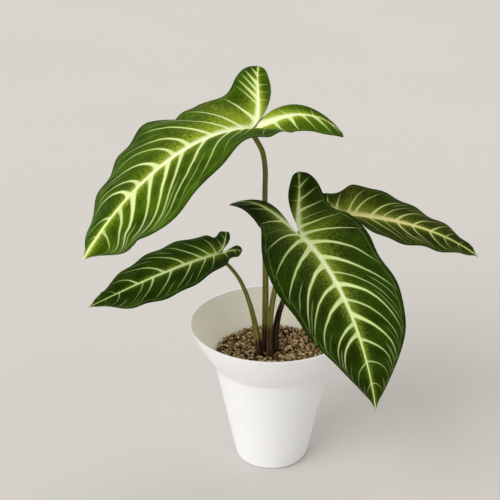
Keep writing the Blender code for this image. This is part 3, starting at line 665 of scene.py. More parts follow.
def blade_axis(along, blade):
    """The midrib at each share of the length: its point, tangent, left and upward directions.

    Its pitch falls by one part of the droop times the share and by the other times the share
    squared, and its heading turns evenly. The point is the running sum of the tangents.
    """
    steps = np.linspace(0, 1, 101)
    pitch = np.radians(blade.pitch - blade.droop[0] * steps - blade.droop[1] * steps ** 2)
    heading = np.radians(blade.heading + blade.sweep * steps)
    tangent = np.stack([np.cos(pitch) * np.cos(heading), np.cos(pitch) * np.sin(heading),
                        np.sin(pitch)], axis=-1)
    stride = (tangent[1:] + tangent[:-1]) * 0.5 * steps[1]
    course = np.vstack([np.zeros(3), np.cumsum(stride, axis=0)])
    forward = unit(between(along, steps, tangent))
    left = unit(np.cross((0.0, 0.0, 1.0), forward))
    return between(along, steps, course), forward, left, np.cross(forward, left)


def turned(vectors, axis, angle):
    """Vectors turned about an axis by an angle each.

    A turned vector is the cosine times itself, plus the sine times the axis crossed with it, plus
    (1 minus the cosine) times its own part along the axis.
    """
    cosine = np.cos(angle)[:, None]
    sine = np.sin(angle)[:, None]
    along = (vectors @ axis)[:, None] * axis
    return vectors * cosine + np.cross(axis, vectors) * sine + along * (1 - cosine)


def lobe_lines(along):
    """How far out the smooth curves of the lobe's rib and inner margin lie at each share."""
    lines = []
    for line in (LOBE_RIB, INNER_MARGIN):
        curve = smooth_curve(line, 6)
        lines.append(np.interp(-along, -curve[:, 0], curve[:, 1]))
    return lines


def outline_width(along):
    """Half width of the flat outline at each share of the length, on a smooth curve."""
    outline = smooth_curve(OUTER_MARGIN, 8)[::-1]
    return np.interp(along, outline[:, 0], outline[:, 1])


def place_on_blade(flat, side, blade):
    """Points of the flat half outline (along, out) bent into the blade's real form, in metres.

    Each point leaves the midrib at the half's fold angle and curls down on its way out. Behind
    the stalk it then turns with its lobe, by more the further back it lies.
    """
    half = blade.half(side)
    along = flat[:, 0]
    ahead = np.clip(along, 0, None)
    rib_out, inner_out = lobe_lines(along)
    inwards = np.clip((rib_out - flat[:, 1]) / np.maximum(rib_out - inner_out, 1e-4), 0, 1)
    swell = INNER_SWELL * half.inner * np.sin(np.pi * np.clip(-along / LOBE_REACH, 0, 1) ** 0.8)
    swell = np.minimum(swell, 0.8 * inner_out)
    swell += half.fill * np.sin(np.pi * np.clip(-along / LOBE_REACH, 0, 1) ** 0.4) ** 2
    out = flat[:, 1] * eased(along, STATIONS, half.widths) - inwards * swell
    point, forward, left, up = blade_axis(ahead, blade)
    base, middle, tip = half.fold
    fold = (base * (1 - ahead) * (1 - 2 * ahead) + 4 * middle * ahead * (1 - ahead)
            - tip * ahead * (1 - 2 * ahead))
    curl = blade.curl[0] + (blade.curl[1] - blade.curl[0]) * ahead
    parts = 8
    reach = np.linspace(0, 1, parts + 1)[None, :]
    angle = np.radians(fold[:, None] - curl[:, None] * reach * out[:, None] / CURL_WIDTH)
    level = (np.cos(angle[:, 1:]) + np.cos(angle[:, :-1])).sum(axis=1) * out / (2 * parts)
    rise = (np.sin(angle[:, 1:]) + np.sin(angle[:, :-1])).sum(axis=1) * out / (2 * parts)
    behind = np.clip(along, None, 0) * half.lobe_length
    place = point + side * level[:, None] * left + rise[:, None] * up + behind[:, None] * forward
    lobe = along < 0
    share = np.clip(-along[lobe] / LOBE_REACH, 0, 1.1)
    share = (share - LOBE_EASE * (1 - np.exp(-share / LOBE_EASE))) / (1 - LOBE_EASE)
    ahead_axis, left_axis, up_axis = forward[lobe][0], left[lobe][0], up[lobe][0]
    arm = turned(place[lobe], ahead_axis, side * np.radians(half.roll) * share)
    arm = turned(arm, up_axis, -side * np.radians(half.spread) * share)
    climb = np.radians(half.lift) * share - np.radians(half.sag) * share ** 2
    place[lobe] = turned(arm, left_axis, climb)
    return place * blade.length * MM + np.array(blade.junction) * MM


def vein_numbers(share, veins, first):
    """Numbers of the rows at shares of a rib: whole at its side veins, and even between them."""
    at = np.array([vein[0] for vein in veins])
    last_gap = at[-1] - at[-2]
    at = np.concatenate([at, [1.0]])
    beyond = first + len(veins) - 1 + (1 - at[-2]) / last_gap
    numbers = np.concatenate([first + np.arange(len(veins)), [beyond]])
    if first:
        at, numbers = np.concatenate([[0], at]), np.concatenate([[0], numbers])
    return np.interp(share, at, numbers)


def vein_strength(numbers, half):
    """Strength of the side vein nearest to each number."""
    ahead = [vein[1] for vein in half.veins] + [EDGE_VEIN]
    behind = [vein[1] for vein in half.lobe_veins] + [EDGE_VEIN]
    nearest = np.round(numbers).astype(int)
    return np.where(nearest >= 0, np.array(ahead)[np.clip(nearest, 0, len(ahead) - 1)],
                    np.array(behind)[np.clip(-nearest - 1, 0, len(behind) - 1)])


def main_grid(half, rows, columns):
    """Flat points (along, out) from the midrib and the lobe's rib to the outer margin.

    Rows follow the side veins: each runs forward evenly and then faster on its way out. How far
    out it is, is the same share of the outline's width at each step, so rows never leave the
    blade. Ahead of the stalk they start on the midrib, behind it on the lobe's rib.
    """
    t = np.linspace(0, 1, columns + 1)[None, :]
    at_rib = np.linspace(1, 0, rows[0] + 1)
    forward = eased(at_rib, (*half.forward[0], 1.0), (*half.forward[1], 0.0))
    slope = eased(at_rib, (*half.slope[0], 1.0), (*half.slope[1], 0.0))
    share = np.linspace(0, 1, rows[1] + 1)[1:]
    lobe_rib = along_curve(smooth_curve(LOBE_RIB, 6), share)
    lobe_end = forward[-1] - (forward[-1] + LOBE_REACH) * (1 - (1 - share) ** 2)
    lobe_run = lobe_end - lobe_rib[:, 0]
    rib = np.vstack([np.stack([at_rib, np.zeros_like(at_rib)], axis=-1), lobe_rib])
    run = np.concatenate([forward, lobe_run])[:, None]
    even = np.concatenate([slope, lobe_run + (slope[-1] - forward[-1]) * (1 - share) ** 4])[:, None]
    along = rib[:, :1] + even * t + (run - even) * t ** 2
    end = outline_width(along[:, -1:])
    end[-1] = OUTER_MARGIN[-1][1]
    lobe_share = np.concatenate([np.zeros(rows[0] + 1), share])[:, None]
    straight = smooth_step(lobe_share, 0.0, 0.3)
    width = outline_width(along) * (1 - straight) + end * straight
    out = rib[:, 1:] + (width - rib[:, 1:]) * t
    lobe_numbers = -vein_numbers(share, half.lobe_veins, 1)
    numbers = np.concatenate([vein_numbers(at_rib, half.veins, 0), lobe_numbers])
    return np.stack([along, out], axis=-1), t, numbers[:, None]


def inner_grid(half, rows, columns):
    """Flat points from the lobe's rib to its inner margin, evenly over the straight way between."""
    share = np.linspace(0, 1, rows + 1)
    rib = along_curve(smooth_curve(LOBE_RIB, 6), share)
    edge = along_curve(smooth_curve(INNER_MARGIN, 6), share ** 0.9)
    t = np.linspace(0, 1, columns + 1)[None, :]
    flat = rib[:, None] + (edge - rib)[:, None] * t[..., None]
    return flat, -t, -vein_numbers(share, half.lobe_veins, 1)[:, None]


def margin_wave(flat, side, blade):
    """Ripple of the margin, in metres along the blade's normal.

    It is an even sine along the blade, plus single waves of e to the power of minus the square of
    the distance over the half width, all times the square of the share of the way out.
    """
    share = np.clip(flat[:, 1] / np.maximum(outline_width(flat[:, 0]), 0.03), 0, 1)
    phase = 1.3 * side + 0.7 * len(blade.name) + blade.heading
    lift = blade.wave * share ** 2 * np.sin(flat[:, 0] * RIPPLE + phase)
    for which, place, width, height in blade.ripples:
        if which == side:
            lift += height * share ** 2 * np.exp(-((flat[:, 0] - place) / width) ** 2)
    return lift * MM


def blade_values(flat, outward, numbers, points, blade):
    """The vein coordinates of a grid, each as one value to a point.

    Spacing is how many metres apart neighbouring side veins are, measured square to them, and the
    distance from a lobe's rib is the least one to any point of its curve.
    """
    shape = flat.shape[:2]
    grid = points.reshape(*shape, 3)
    across = unit(np.gradient(grid, axis=1), 1e-9)
    step = np.gradient(grid, axis=0) / np.gradient(numbers, axis=0)[..., None]
    spacing = np.linalg.norm(np.cross(step, across), axis=-1)
    flat = flat.reshape(-1, 2)
    lobe_rib = smooth_curve(LOBE_RIB, 12)
    from_lobe = np.sqrt(((flat[:, None] - lobe_rib[None]) ** 2).sum(axis=-1)).min(axis=1)
    from_midrib = np.where(flat[:, 0] > 0, flat[:, 1], np.hypot(flat[:, 0], flat[:, 1]))
    size = blade.length * MM
    return {"number": np.broadcast_to(numbers, shape).ravel(),
            "outward": np.broadcast_to(outward, shape).ravel(), "spacing": spacing.ravel(),
            "from_midrib": from_midrib * size, "from_lobe_rib": from_lobe * size, "along": flat[:, 0]}


def blade_sheet(blade, look):
    """The four parts of a blade's upper surface: points, triangles, lift and vein coordinates.

    The lift is the quilting, the sine of pi times the vein number, and the ripple of the margin.
    """
    parts = []
    rows = (look.rows, look.rows * 2 // 5)
    for side in (1, -1):
        half = blade.half(side)
        grids = (main_grid(half, rows, look.columns), inner_grid(half, rows[1], look.columns // 3))
        for index, (flat, outward, numbers) in enumerate(grids):
            triangles = grid_triangles(*flat.shape[:2])
            if (side > 0) != (index == 0):
                triangles = triangles[:, ::-1]
            points = place_on_blade(flat.reshape(-1, 2), side, blade)
            values = blade_values(flat, outward, numbers, points, blade)
            values["strength"] = vein_strength(values["number"], half)
            swell = np.abs(np.sin(np.pi * values["number"])) ** 1.3
            middle = np.clip(4 * np.abs(values["outward"]) * (1 - np.abs(values["outward"])), 0, 1) ** 0.6
            lift = blade.quilt * MM * swell * middle * np.clip(values["spacing"] / FULL_QUILT, 0, 1)
            lift += margin_wave(flat.reshape(-1, 2), side, blade)
            parts.append((points, triangles, lift, values))
    return parts


def weld(points, triangles):
    """Join points that lie together: the first of each, and the triangles that keep three corners."""
    keys = np.round(points / WELD).astype(np.int64)
    _, first, inverse = np.unique(keys, axis=0, return_index=True, return_inverse=True)
    joined = inverse.reshape(-1)[triangles]
    a, b, c = joined.T
    kept = (a != b) & (b != c) & (a != c)
    return first, joined[kept], kept


def rim_strip(faces, raw, count):
    """Two triangles from each open side of a sheet to its copy below, welded and as they were."""
    sides = np.vstack([faces[:, [0, 1]], faces[:, [1, 2]], faces[:, [2, 0]]])
    raw_sides = np.vstack([raw[:, [0, 1]], raw[:, [1, 2]], raw[:, [2, 0]]])
    alone = ~np.isin(sides[:, 0] * count + sides[:, 1], sides[:, 1] * count + sides[:, 0])
    strips = []
    for (start, end), below in ((sides[alone].T, count), (raw_sides[alone].T, 0)):
        strips.append(np.vstack([np.stack([start, below + start, below + end], -1),
                                 np.stack([start, below + end, end], -1)]))
    return strips


def blade_depth(blade, values):
    """How far the sheet below lies under the one above: the blade's thickness and its ribs.

    A rib is as deep as e to the power of minus the square of the distance from it over its half
    width, times its full depth, and the main ribs fade towards the ends of the blade.
    """
    along, outward = values["along"], np.abs(values["outward"])
    from_rib = np.minimum(values["from_midrib"], values["from_lobe_rib"])
    rib = from_rib / (RIB_HALF_WIDTH * blade.length / RIB_BLADE_LENGTH)
    fade = np.where(along < 0, 1 + along / LOBE_REACH, 1 - along) ** 0.8
    depth = RIB_DEPTH * np.exp(-rib ** 2) * np.clip(fade, 0, 1)
    beside = np.abs(values["number"] - np.round(values["number"])) * values["spacing"]
    depth += SIDE_RIB_DEPTH * np.exp(-(beside / SIDE_RIB_HALF_WIDTH) ** 2) * np.clip(1 - outward, 0, 1) ** 0.7
    return BLADE_THICKNESS * (1 - 0.4 * smooth_step(outward, 0.8, 1.0)) + depth


def make_leaf(blade, look):
    """A thin closed blade: the sheet above, the same below with its ribs, and a rim between."""
    parts = blade_sheet(blade, look)
    starts = np.cumsum([0] + [len(part[0]) for part in parts])
    points = np.vstack([part[0] for part in parts])
    raw = np.vstack([part[1] + start for part, start in zip(parts, starts)])
    lift = np.concatenate([part[2] for part in parts])
    values = {key: np.concatenate([part[3][key] for part in parts]) for key in parts[0][3]}
    first, faces, kept = weld(points, raw)
    raw = raw[kept]
    top = points[first] + point_normals(points[first], faces) * lift[first][:, None]
    depth = blade_depth(blade, {key: value[first] for key, value in values.items()})
    bottom = top - point_normals(top, faces) * depth[:, None]
    rim, raw_rim = rim_strip(faces, raw, len(top))
    triangles = np.vstack([faces, faces[:, ::-1] + len(top), rim])
    source = np.vstack([raw, raw[:, ::-1], raw_rim])
    corner_values = {key: value[source] for key, value in values.items()}
    corner_values["underside"] = np.repeat((0.0, 1.0, 0.0), (3 * len(raw), 3 * len(raw), 3 * len(rim)))
    make_piece(f"blade_{blade.name[-1]}", np.vstack([top, bottom]), triangles,
               leaf_material(blade.name, look), [blade.name], corner_values)


# Leaf stalks

def make_stalk(stalk, look, material):
    """A tube along the stalk's course, with a channel on one side and a sheath at its foot.

    The plain radius narrows from the foot's to the top's by a power of the way still to rise. The
    channel takes a share off and the lips add one, each e to the power of minus the square of the
    angle from it over its half width. The end under the blade is rounded as a quarter circle.
    """
    blade = next(blade for blade in BLADES if blade.name == stalk.blade)
    up = blade_axis(np.zeros(1), blade)[3][0]
    lower = np.array(stalk.course, float) * MM
    upright = [(*lower[0][:2], GRAVEL_LEVEL - depth) for depth in (10 * MM, 5 * MM, 0)]
    top = np.array(blade.junction) * MM - up * UNDER_BLADE
    course = smooth_curve(np.vstack([upright, lower[1:], top]), 16)
    length = np.concatenate([[0], np.cumsum(np.linalg.norm(np.diff(course, axis=0), axis=1))])
    at = np.linspace(0, length[-1], look.steps + 1)
    middle = between(at, length, course)
    tangent = np.gradient(middle, axis=0)
    tangent[0] = (0, 0, 1)
    tangent = unit(tangent)
    side = unit(np.cross(tangent, (0.0, 1.0, 0.0)))
    other = np.cross(side, tangent)
    rise = np.clip((middle[:, 2] - GRAVEL_LEVEL) / (middle[-1, 2] - GRAVEL_LEVEL), 0, 1)[:, None]
    radius = (stalk.top_radius + (stalk.foot_radius - stalk.top_radius) * (1 - rise) ** STALK_TAPER) * MM
    above = middle[:, 2:] - GRAVEL_LEVEL
    angles = np.linspace(0, 2 * np.pi, look.sides, endpoint=False)[None, :]
    off = np.abs((angles - np.radians(stalk.groove) + np.pi) % (2 * np.pi) - np.pi)
    low = 1 - smooth_step(above, *SHEATH)
    channel = np.exp(-(off / CHANNEL_HALF_WIDTH) ** 2) * (CHANNEL_DEPTH[0] + CHANNEL_DEPTH[1] * low)
    lips = np.exp(-((off - LIP_PLACE) / LIP_HALF_WIDTH) ** 2) * LIP_HEIGHT * low
    into_end = np.clip((at - at[-1] + STALK_END) / STALK_END, 0, 1)[:, None]
    end = np.sqrt(np.clip(1 - into_end ** 2, 0.02, 1))
    across = radius * (1 - channel + lips) * end
    ring = np.cos(angles)[..., None] * side[:, None] + np.sin(angles)[..., None] * other[:, None]
    points = (middle[:, None] + across[..., None] * ring).reshape(-1, 3)
    points = np.vstack([points, middle[:1], middle[-1:]])
    triangles = tube_triangles(look.steps + 1, look.sides)
    dark = 1 - smooth_step(above, 0.35 * stalk.dark_foot * MM, stalk.dark_foot * MM)
    groove = np.exp(-((off - LIP_PLACE) / LIP_EDGE) ** 2) * low * (1 - 0.7 * dark)
    corner_values = {}
    for key, value, ends in (("ring_cos", np.cos(angles), (0, 0)), ("ring_sin", np.sin(angles), (0, 0)),
                             ("above", above, (0, 0.2)), ("foot", dark, (1, 0)), ("groove", groove, (0, 0))):
        value = np.broadcast_to(value, across.shape).ravel()
        corner_values[key] = np.concatenate([value, ends])[triangles]
    make_piece(f"stalk_{stalk.name[-1]}", points, triangles, material, [stalk.name], corner_values)


# Pot

def pot_radius(height):
    """Outer radius at a height: a straight taper, then the funnel collar.

    The collar is the flare times the height over the shoulder, less a bend that grows with the
    square of that height.
    """
    taper = POT_BASE_RADIUS + (SHOULDER_RADIUS - POT_BASE_RADIUS) * height / SHOULDER_HEIGHT
    above = height - SHOULDER_HEIGHT
    collar = SHOULDER_RADIUS + COLLAR_FLARE * above - COLLAR_BEND * (above / COLLAR_BEND_HEIGHT) ** 2
    return np.where(height <= SHOULDER_HEIGHT, taper, collar)


def pot_inner_radius(height):
    """Inner radius: the outer one less the wall times the root of 1 plus the slope squared."""
    slope = (pot_radius(height + MM) - pot_radius(height)) / MM
    return pot_radius(height) - POT_WALL * np.sqrt(1 + slope ** 2)


def pot_profile():
    """The wall's outline as (radius, height), up the outside and down inside, and which is inside.

    The foot and the rim are arcs, and the walls between follow the two radii.
    """
    foot = np.radians(np.linspace(0, 90, 7))
    foot_ring = np.stack([POT_BASE_RADIUS - POT_FOOT_ROUND * (1 - np.sin(foot)),
                          POT_FOOT_ROUND * (1 - np.cos(foot))], axis=-1)
    body = np.linspace(10 * MM, SHOULDER_HEIGHT - SHOULDER_SOFT[0], 14)
    collar = np.linspace(SHOULDER_HEIGHT + SHOULDER_SOFT[1], RIM_HEIGHT, 22)
    outside = np.concatenate([body, collar])
    lip = np.radians(np.linspace(20, 160, 7))
    rim = pot_radius(RIM_HEIGHT)
    inner_rim = pot_inner_radius(RIM_HEIGHT)
    lip_ring = np.stack([(rim + inner_rim) / 2 + (rim - inner_rim) / 2 * np.cos(lip),
                         RIM_HEIGHT + RIM_ROUND * np.sin(lip)], axis=-1)
    inside = np.concatenate([collar[::-1], body[::-1]])
    inside_ring = np.stack([pot_inner_radius(inside), inside], axis=-1)
    corner = POT_FLOOR + FLOOR_CORNER[0]
    floor = np.array([(float(pot_inner_radius(corner)), corner),
                      (float(pot_inner_radius(POT_FLOOR)) - FLOOR_CORNER[1], POT_FLOOR)])
    outer = np.vstack([foot_ring, np.stack([pot_radius(outside), outside], axis=-1), lip_ring])
    inner = np.vstack([inside_ring, floor])
    return np.vstack([outer, inner]), np.repeat((0.0, 1.0), (len(outer), len(inner)))


def lathe(profile, segments):
    """Points and triangles of an outline turned about Z, closed at the middle of both ends."""
    angles = np.linspace(0, 2 * np.pi, segments, endpoint=False)
    ring = np.stack([np.cos(angles), np.sin(angles)], axis=-1)
    points = np.concatenate([profile[:, None, :1] * ring[None], np.broadcast_to(
        profile[:, None, 1:], (len(profile), segments, 1))], axis=-1).reshape(-1, 3)
    points = np.vstack([points, (0, 0, profile[0, 1]), (0, 0, profile[-1, 1])])
    return points, tube_triangles(len(profile), segments)


def cut_drains(piece):
    """Cut the drain holes through the pot's floor."""
    ring = np.array([(DRAIN_RADIUS, -MM), (DRAIN_RADIUS, POT_FLOOR + MM)])
    points, triangles = lathe(ring, DRAIN_SIDES)
    cutters = []
    for index in range(DRAIN_HOLES):
        angle = 2 * np.pi * (index + DRAIN_TURN) / DRAIN_HOLES
        mesh = bpy.data.meshes.new("drain")
        moved = points + (DRAIN_CIRCLE * np.cos(angle), DRAIN_CIRCLE * np.sin(angle), 0.0)
        mesh.from_pydata(moved.tolist(), [], triangles.tolist())
        cutter = add_object("drain", mesh)
        change = piece.modifiers.new("drain", "BOOLEAN")
        change.operation = "DIFFERENCE"
        change.solver = "EXACT"
        change.object = cutter
        cutters.append(cutter)
    bpy.context.view_layer.update()
    mesh = bpy.data.meshes.new_from_object(piece.evaluated_get(bpy.context.evaluated_depsgraph_get()))
    piece.modifiers.clear()
    piece.data = mesh
    for cutter in cutters:
        bpy.data.objects.remove(cutter, do_unlink=True)
    mesh.shade_smooth()
    mesh.set_sharp_from_angle(angle=SMOOTH_BELOW)


# Gravel

def stone_places(look, chance):
    """Centres of the stones: a jittered six-sided grid, layer over layer.

    The gravel's height falls with the square of the distance from the middle.
    """
    edge = float(pot_inner_radius(GRAVEL_LEVEL))
    pitch = look.stone_pitch
    lines = int(edge / pitch) + 2
    i, j = np.meshgrid(np.arange(-lines, lines + 1), np.arange(-lines, lines + 1))
    flat = np.stack([(i + 0.5 * (j % 2)) * pitch, j * pitch * ROW_PITCH], axis=-1).reshape(-1, 2)
    centres = []
    for layer, (drop, keep) in enumerate(STONE_LAYERS):
        spots = flat + layer * pitch * 0.55 + chance.uniform(-0.42, 0.42, flat.shape) * pitch
        spots = spots[chance.uniform(size=len(spots)) < keep]
        reach = np.hypot(*spots.T) / edge
        height = GRAVEL_LEVEL + GRAVEL_CROWN * (1 - reach ** 2) - drop * MM
        height += chance.uniform(-0.6, 0.6, len(spots)) * MM
        centres.append(np.column_stack([spots, height])[reach < 1])
    return np.vstack(centres)


def ball_shape():
    """Points and triangles of a small ball, from which every stone is made."""
    ball = bmesh.new()
    bmesh.ops.create_uvsphere(ball, u_segments=7, v_segments=4, radius=1.0)
    bmesh.ops.triangulate(ball, faces=ball.faces)
    points = np.array([vertex.co[:] for vertex in ball.verts])
    triangles = np.array([[vertex.index for vertex in face.verts] for face in ball.faces])
    ball.free()
    return points, triangles


def filling():
    """Points and triangles of the body under the stones, just inside the pot's inner wall."""
    heights = np.array([POT_FLOOR + GAP, 0.5 * SHOULDER_HEIGHT, SHOULDER_HEIGHT])
    outline = [(float(pot_inner_radius(height)) - GAP - 0.3 * MM, float(height)) for height in heights]
    outline += [(float(pot_inner_radius(GRAVEL_LEVEL - FILL_EDGE)) - GAP, GRAVEL_LEVEL - FILL_EDGE),
                (FILL_MIDDLE[0], GRAVEL_LEVEL - FILL_MIDDLE[1])]
    return lathe(np.array(outline), FILL_SIDES)


def make_gravel(look):
    """Broken stones on a filling that follows the pot's inner wall.

    Every stone is a ball of 42 facets, stretched three ways, roughened point by point and turned
    at random. A stone that would lie in the pot's wall or in a stalk is left out or drawn in.
    """
    chance = np.random.default_rng(STONE_SEED)
    shape, faces = ball_shape()
    centres = stone_places(look, chance)
    count = len(centres)
    size = look.stone_size * 0.5 * chance.uniform(0.62, 1.25, (count, 1))
    size = size * chance.uniform(0.72, 1.25, (count, 3))
    feet = np.array([stalk.course[0][:2] for stalk in STALKS]) * MM
    thick = np.array([stalk.foot_radius for stalk in STALKS]) * MM
    reach = size.max(axis=1)
    from_feet = np.linalg.norm(centres[:, None, :2] - feet[None], axis=-1)
    free = np.all(from_feet > thick + reach[:, None] * 0.75, axis=1)
    limit = pot_inner_radius(np.clip(centres[:, 2], SHOULDER_HEIGHT, RIM_HEIGHT)) - GAP
    free &= np.hypot(centres[:, 0], centres[:, 1]) < limit - reach * 0.9
    centres, size = centres[free], size[free]
    count = len(centres)
    turns = np.linalg.qr(chance.normal(size=(count, 3, 3)))[0]
    rough = 1 + STONE_ROUGHNESS * chance.normal(size=(count, len(shape), 1)).clip(-1.6, 1.6)
    corners = np.einsum("nij,nkj->nki", turns, shape[None] * rough * size[:, None])
    points = (centres[:, None] + corners).reshape(-1, 3)
    radius = np.hypot(points[:, 0], points[:, 1])
    wall = pot_inner_radius(np.clip(points[:, 2], SHOULDER_HEIGHT - 6 * MM, RIM_HEIGHT)) - GAP
    points[:, :2] *= np.minimum(1, wall / np.maximum(radius, MM))[:, None]
    triangles = (faces[None] + (np.arange(count) * len(shape))[:, None, None]).reshape(-1, 3)
    shade = np.repeat(chance.uniform(size=count), len(faces) * 3).reshape(-1, 3)
    base, base_faces = filling()
    # Painted shade: a point of a stone is darker the lower it lies under the crown, for the shade between the
    # stones.
    crown = GRAVEL_LEVEL + GRAVEL_CROWN * (1 - (np.hypot(points[:, 0], points[:, 1]) / CROWN_RADIUS) ** 2)
    sunk = 1 - smooth_step(points[:, 2] - crown, *GAP_SHADE_HEIGHTS)
    # The filling under the stones is painted wholly in the gap shade.
    sunk = np.concatenate([sunk, np.ones(len(base))])
    all_points = np.vstack([points, base])
    all_faces = np.vstack([triangles, base_faces + len(points)])
    shade = np.vstack([shade, np.full(base_faces.shape, 0.05)])
    make_piece("gravel_stones", all_points, all_faces, gravel_material(look), ["gravel"],
               {"stone": shade, "sunk": sunk[all_faces]}, smooth=False)


# Settings that a user may change

def colour_of(name, text, value):
    """A colour, as linear red, green and blue."""
    return FloatVectorProperty(name=name, description=text, subtype="COLOR", default=value)


def length_of(name, text, value, low=0.1, high=100.0):
    """A length, its default and limits in millimetres."""
    return FloatProperty(name=name, description=text, unit="LENGTH", default=value * MM,
                         min=low * MM, max=high * MM)


def amount_of(name, text, value, high=1.0):
    """A number from 0 to its highest value."""
    return FloatProperty(name=name, description=text, default=value, min=0.0, max=high)


def count_of(name, text, value, low, high):
    """A whole number between two limits."""
    return IntProperty(name=name, description=text, default=value, min=low, max=high)


class AroidLeafLook(bpy.types.PropertyGroup):
    rows: count_of("Rows", "Rows of faces from the stalk to the leaf's tip", 150, 40, 200)
    columns: count_of("Columns", "Columns of faces from the midrib to the margin", 42, 9, 60)
    halo_strength: amount_of("Halo", "Strength of the yellow-green halo round the veins", 0.9)
    roughness: amount_of("Roughness", "Roughness of the leaf's skin", 0.46)
    shine: amount_of("Shine", "How much the leaf's skin reflects", 0.008)
    below: colour_of("Underside", "Paler green that the underside takes on", (0.14, 0.22, 0.06))
    below_veins: colour_of("Underside veins", "Colour of the veins seen from below", (0.40, 0.50, 0.22))


def blade_look(letter, dark, light, halo, vein, midrib, widths, halos):
    """The settings of one blade: its colours, and the half widths and reaches of its veins in mm."""
    fields = {
        "dark": colour_of("Dark", "Darkest green of the blade", dark),
        "light": colour_of("Light", "Lightest green of the blade", light),
        "halo": colour_of("Halo", "Colour of the halo round the veins", halo),
        "vein": colour_of("Side veins", "Colour of the side veins", vein),
        "midrib": colour_of("Midrib", "Colour of the midrib and of the lobes' ribs", midrib),
        "midrib_width": length_of("Midrib width", "Half width of the midrib at the stalk", widths[0]),
        "vein_width": length_of("Vein width", "Half width of a strong side vein", widths[1]),
        "lobe_width": length_of("Lobe rib width", "Half width of a lobe's rib at the stalk", widths[2]),
        "midrib_halo": length_of("Midrib halo", "Reach of the halo beside the midrib", halos[0]),
        "vein_halo": length_of("Vein halo", "Reach of the halo beside a side vein", halos[1]),
    }
    return type(f"AroidBlade{letter}Look", (bpy.types.PropertyGroup,),
                {"__doc__": f"Colours and veins of blade {letter}", "__annotations__": fields})


AroidBladeALook = blade_look("A", (0.016, 0.043, 0.001), (0.044, 0.102, 0.001), (0.40, 0.52, 0.04),
                             (0.70, 0.82, 0.36), (0.84, 0.88, 0.56), (8.0, 3.4, 5.8), (17.0, 2.1))
AroidBladeBLook = blade_look("B", (0.007, 0.018, 0.001), (0.020, 0.046, 0.002), (0.25, 0.34, 0.03),
                             (0.62, 0.76, 0.32), (0.72, 0.78, 0.44), (5.3, 2.6, 5.6), (13.0, 1.4))
AroidBladeCLook = blade_look("C", (0.008, 0.017, 0.001), (0.022, 0.040, 0.001), (0.29, 0.35, 0.04),
                             (0.56, 0.62, 0.22), (0.68, 0.63, 0.28), (6.8, 2.3, 4.4), (9.5, 1.5))
AroidBladeDLook = blade_look("D", (0.007, 0.020, 0.001), (0.018, 0.046, 0.001), (0.20, 0.30, 0.02),
                             (0.52, 0.66, 0.28), (0.60, 0.70, 0.32), (3.8, 1.6, 2.8), (6.0, 1.1))


class AroidStalkLook(bpy.types.PropertyGroup):
    steps: count_of("Steps", "Rings of faces along a stalk", 140, 20, 300)
    sides: count_of("Sides", "Faces round a stalk", 40, 8, 80)
    green: colour_of("Green", "Colour of a stalk above its foot", (0.100, 0.093, 0.011))
    pale: colour_of("Streaks", "Colour of the streaks along a stalk", (0.30, 0.285, 0.085))
    lip: colour_of("Lips", "Colour of the lips beside the channel", (0.30, 0.30, 0.09))
    foot: colour_of("Foot", "Colour of a stalk's foot", (0.032, 0.015, 0.009))
    foot_pale: colour_of("Foot streaks", "Colour of the streaks at the foot", (0.11, 0.075, 0.035))


class AroidPotLook(bpy.types.PropertyGroup):
    segments: count_of("Segments", "Faces round the pot", 160, 24, 320)
    colour: colour_of("Colour", "Colour of the pot's plastic", (0.92, 0.92, 0.925))
    # The inside colour is painted warm bounce light on the inner wall, not a different plastic.
    inside: colour_of("Inside", "Colour of the pot's inner wall", (0.96, 0.93, 0.83))


class AroidGravelLook(bpy.types.PropertyGroup):
    stone_size: length_of("Stone size", "Usual width of a stone", 3.4, 2, 8)
    stone_pitch: length_of("Stone pitch", "Distance between the stones of a layer", 3.3, 2, 8)
    dark: colour_of("Dark", "Darkest stones", (0.15, 0.080, 0.026))
    middle: colour_of("Middle", "Middling stones", (0.54, 0.355, 0.155))
    light: colour_of("Light", "Light stones", (0.88, 0.65, 0.335))
    pale: colour_of("Pale", "Palest stones", (0.97, 0.79, 0.48))
    specks: colour_of("Specks", "Colour of the specks on a stone", (0.10, 0.065, 0.03))
    # Colour of the painted shade deep between the stones and on the filling.
    gap_shade: colour_of("Gaps", "Colour deep between the stones", (0.022, 0.011, 0.004))


class AroidStudioLook(bpy.types.PropertyGroup):
    floor_colour: colour_of("Floor", "Colour of the floor", (0.60, 0.585, 0.565))
    key_strength: amount_of("Key light", "Strength of the soft light at the left", 2.0, 20.0)
    key_colour: colour_of("Key colour", "Colour of the left light and of the room", (1.0, 0.985, 0.965))
    fill_strength: amount_of("Fill light", "Strength of the soft light behind", 0.5, 20.0)
    fill_colour: colour_of("Fill colour", "Colour of the light behind", (1.0, 0.90, 0.78))
    softness: FloatProperty(name="Softness", description="How wide the lights look from the plant",
                            subtype="ANGLE", default=np.radians(50), min=0.0, max=np.pi)
    sky_strength: amount_of("Room light", "Strength of the light from all round", 0.66, 20.0)


# Operators

class AROID_OT_leaves(bpy.types.Operator):
    """Make the four blades with their veins"""
    bl_idname = "aroid.leaves"
    bl_label = "Leaves"

    def execute(self, context):
        for blade in BLADES:
            make_leaf(blade, context.scene.aroid_leaf)
        return {"FINISHED"}


class AROID_OT_stalks(bpy.types.Operator):
    """Make the four leaf stalks"""
    bl_idname = "aroid.stalks"
    bl_label = "Stalks"

    def execute(self, context):
        look = context.scene.aroid_stalk
        material = stalk_material(look)
        for stalk in STALKS:
            make_stalk(stalk, look, material)
        return {"FINISHED"}


